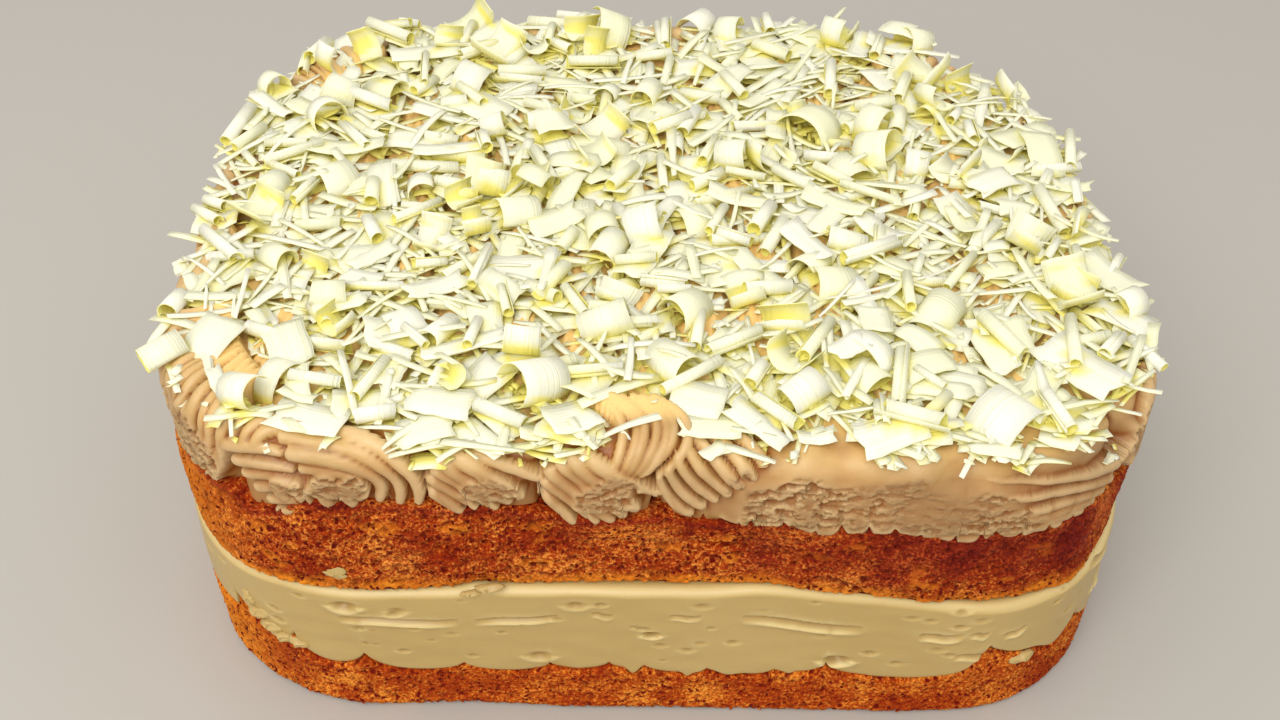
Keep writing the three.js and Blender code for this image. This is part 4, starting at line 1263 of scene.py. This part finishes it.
def white_chocolate():
    """White chocolate: ivory-white and waxy, and so thin that light passes through it. The concave sides of
    curls, the pieces that lie beneath others and the sides facing down are painted a warm yellow as painted
    shade. The knife left fine streaks along each."""
    made, tree = material("white_chocolate")
    lane = add(tree, "ShaderNodeAttribute", output="Fac", attribute_name="lane")
    shade = add(tree, "ShaderNodeAttribute", output="Fac", attribute_name="shade")
    inside = add(tree, "ShaderNodeAttribute", output="Fac", attribute_name="inside")
    under = add(tree, "ShaderNodeAttribute", output="Fac", attribute_name="under")
    # The streaks are about half a millimetre wide: lanes are in millimetres across the sheet.
    scored = {"W": lane, "Scale": 1.9, "Detail": 3.0}
    streaks = add(tree, "ShaderNodeTexNoise", scored, noise_dimensions="1D")
    line = add(tree, "ShaderNodeMapRange", {"Value": streaks, 1: 0.42, 2: 0.3, 4: 0.7})
    # The streaks are the knife's; the last two colours are painted yellow shade.
    colour = linear("#f6f8dc")
    for share, other in ((shade, "#f8faf2"), (line, "#eeeec8"), (inside, "#f6f084"), (under, "#fdf482")):
        tints = {0: share, 6: colour, 7: linear(other)}
        colour = add(tree, "ShaderNodeMix", tints, output=2, data_type="RGBA")
    bumps = add(tree, "ShaderNodeBump", {"Strength": 0.45, "Distance": 0.0004, "Height": streaks})
    body = add(tree, "ShaderNodeBsdfPrincipled", {"Base Color": colour, "Roughness": 0.45, "Normal": bumps})
    glow = add(tree, "ShaderNodeBsdfTranslucent", {"Color": linear("#fdf8ac"), "Normal": bumps})
    thin = add(tree, "ShaderNodeMixShader", {0: 0.2, 1: body, 2: glow})
    add(tree, "ShaderNodeOutputMaterial", {"Surface": thin})
    return made


# The pile starts as the height of the cream under each point of a grid, and grows with each shaving.
pile_x = np.arange(-RING_WIDTH / 2 - PILE_MARGIN, RING_WIDTH / 2 + PILE_MARGIN, PILE_STEP)
pile_y = np.arange(-RING_DEPTH / 2 - PILE_MARGIN, RING_DEPTH / 2 + PILE_MARGIN, PILE_STEP)
inside_ring = distance_inside(*np.meshgrid(pile_x, pile_y))
cream_trees = []
for piece in (border, field):
    corners = [v.co * 1000 for v in piece.data.vertices]
    cream_trees.append(BVHTree.FromPolygons(corners, [tuple(p.vertices) for p in piece.data.polygons]))
pile = np.full((len(pile_y), len(pile_x)), -1e3)
for row, y in enumerate(pile_y):
    for column, x in enumerate(pile_x):
        for tree in cream_trees:
            hit = tree.ray_cast(Vector((x, y, RAYS_FROM)), Vector((0, 0, -1)))[0]
            if hit is not None:
                pile[row, column] = max(pile[row, column], hit.z)

random = np.random.default_rng(29)
order = [(random.random() + kind.late, name) for name, kind in SHAVINGS.items() for _ in range(kind.count)]
laid = {name: [] for name in SHAVINGS}
for _, name in sorted(order):
    kind = SHAVINGS[name]
    length, width, turn = (random.uniform(*span) for span in (kind.lengths, kind.widths, kind.curls))
    sheet = settle(random, shaved_sheet(random, length, width, turn, kind), kind.tilt)
    if sheet is not None:
        laid[name].append((sheet, width, turn))

chocolate = white_chocolate()
for name, sheets in laid.items():
    steps, lanes = SHAVINGS[name].steps, SHAVINGS[name].lanes
    template = sheet_faces(steps, lanes)
    half = (steps + 1) * (lanes + 1)
    points, faces = [], []
    marks = {"lane": [], "shade": [], "inside": [], "under": []}
    for sheet, width, turn in sheets:
        normal = np.cross(np.gradient(sheet, axis=0), np.gradient(sheet, axis=1))
        normal /= np.linalg.norm(normal, axis=-1, keepdims=True) + 1e-9
        thick = np.full(sheet.shape[:2], SHEET / 2)
        thick[:, [0, -1]] *= 0.7
        thick[[0, -1]] *= 0.6
        skin = normal * thick[..., None]
        faces.append(template + 2 * half * len(faces))
        points.append(np.concatenate([(sheet + skin).reshape(-1, 3), (sheet - skin).reshape(-1, 3)]))
        lane_at = random.uniform(0, 500) + np.tile(np.linspace(0, width, lanes + 1), steps + 1)
        marks["lane"].append(np.tile(lane_at, 2))
        marks["shade"].append(np.full(2 * half, random.random()))
        # Painted yellow shade: the concave side of tight curls, pieces buried beneath others, and the sides
        # facing down.
        marks["inside"].append(np.repeat([smooth((turn - 2) / 5), 0.0], half))
        row, column = pile_cells(sheet)
        row, column = np.clip(row, 1, len(pile_y) - 2), np.clip(column, 1, len(pile_x) - 2)
        buried = np.clip((pile[row, column] - sheet[..., 2] - 0.8) / 2.2, 0, 0.95).ravel()
        facing_down, facing_up = (0.6 * smooth(way * normal[..., 2] * 2).ravel() for way in (-1, 1))
        marks["under"].append(np.maximum(np.tile(buried, 2), np.concatenate([facing_down, facing_up])))
    piece = mesh_piece(name, np.concatenate(points), np.concatenate(faces).tolist(), chocolate)
    is_face = np.arange(len(template)) < 2 * steps * lanes
    piece.data.polygons.foreach_set("use_smooth", np.tile(is_face, len(sheets)))
    for attribute, numbers in marks.items():
        mark(piece, attribute, np.concatenate(numbers))
    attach(piece, "root")
    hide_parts("coffee_cream_with_shavings")
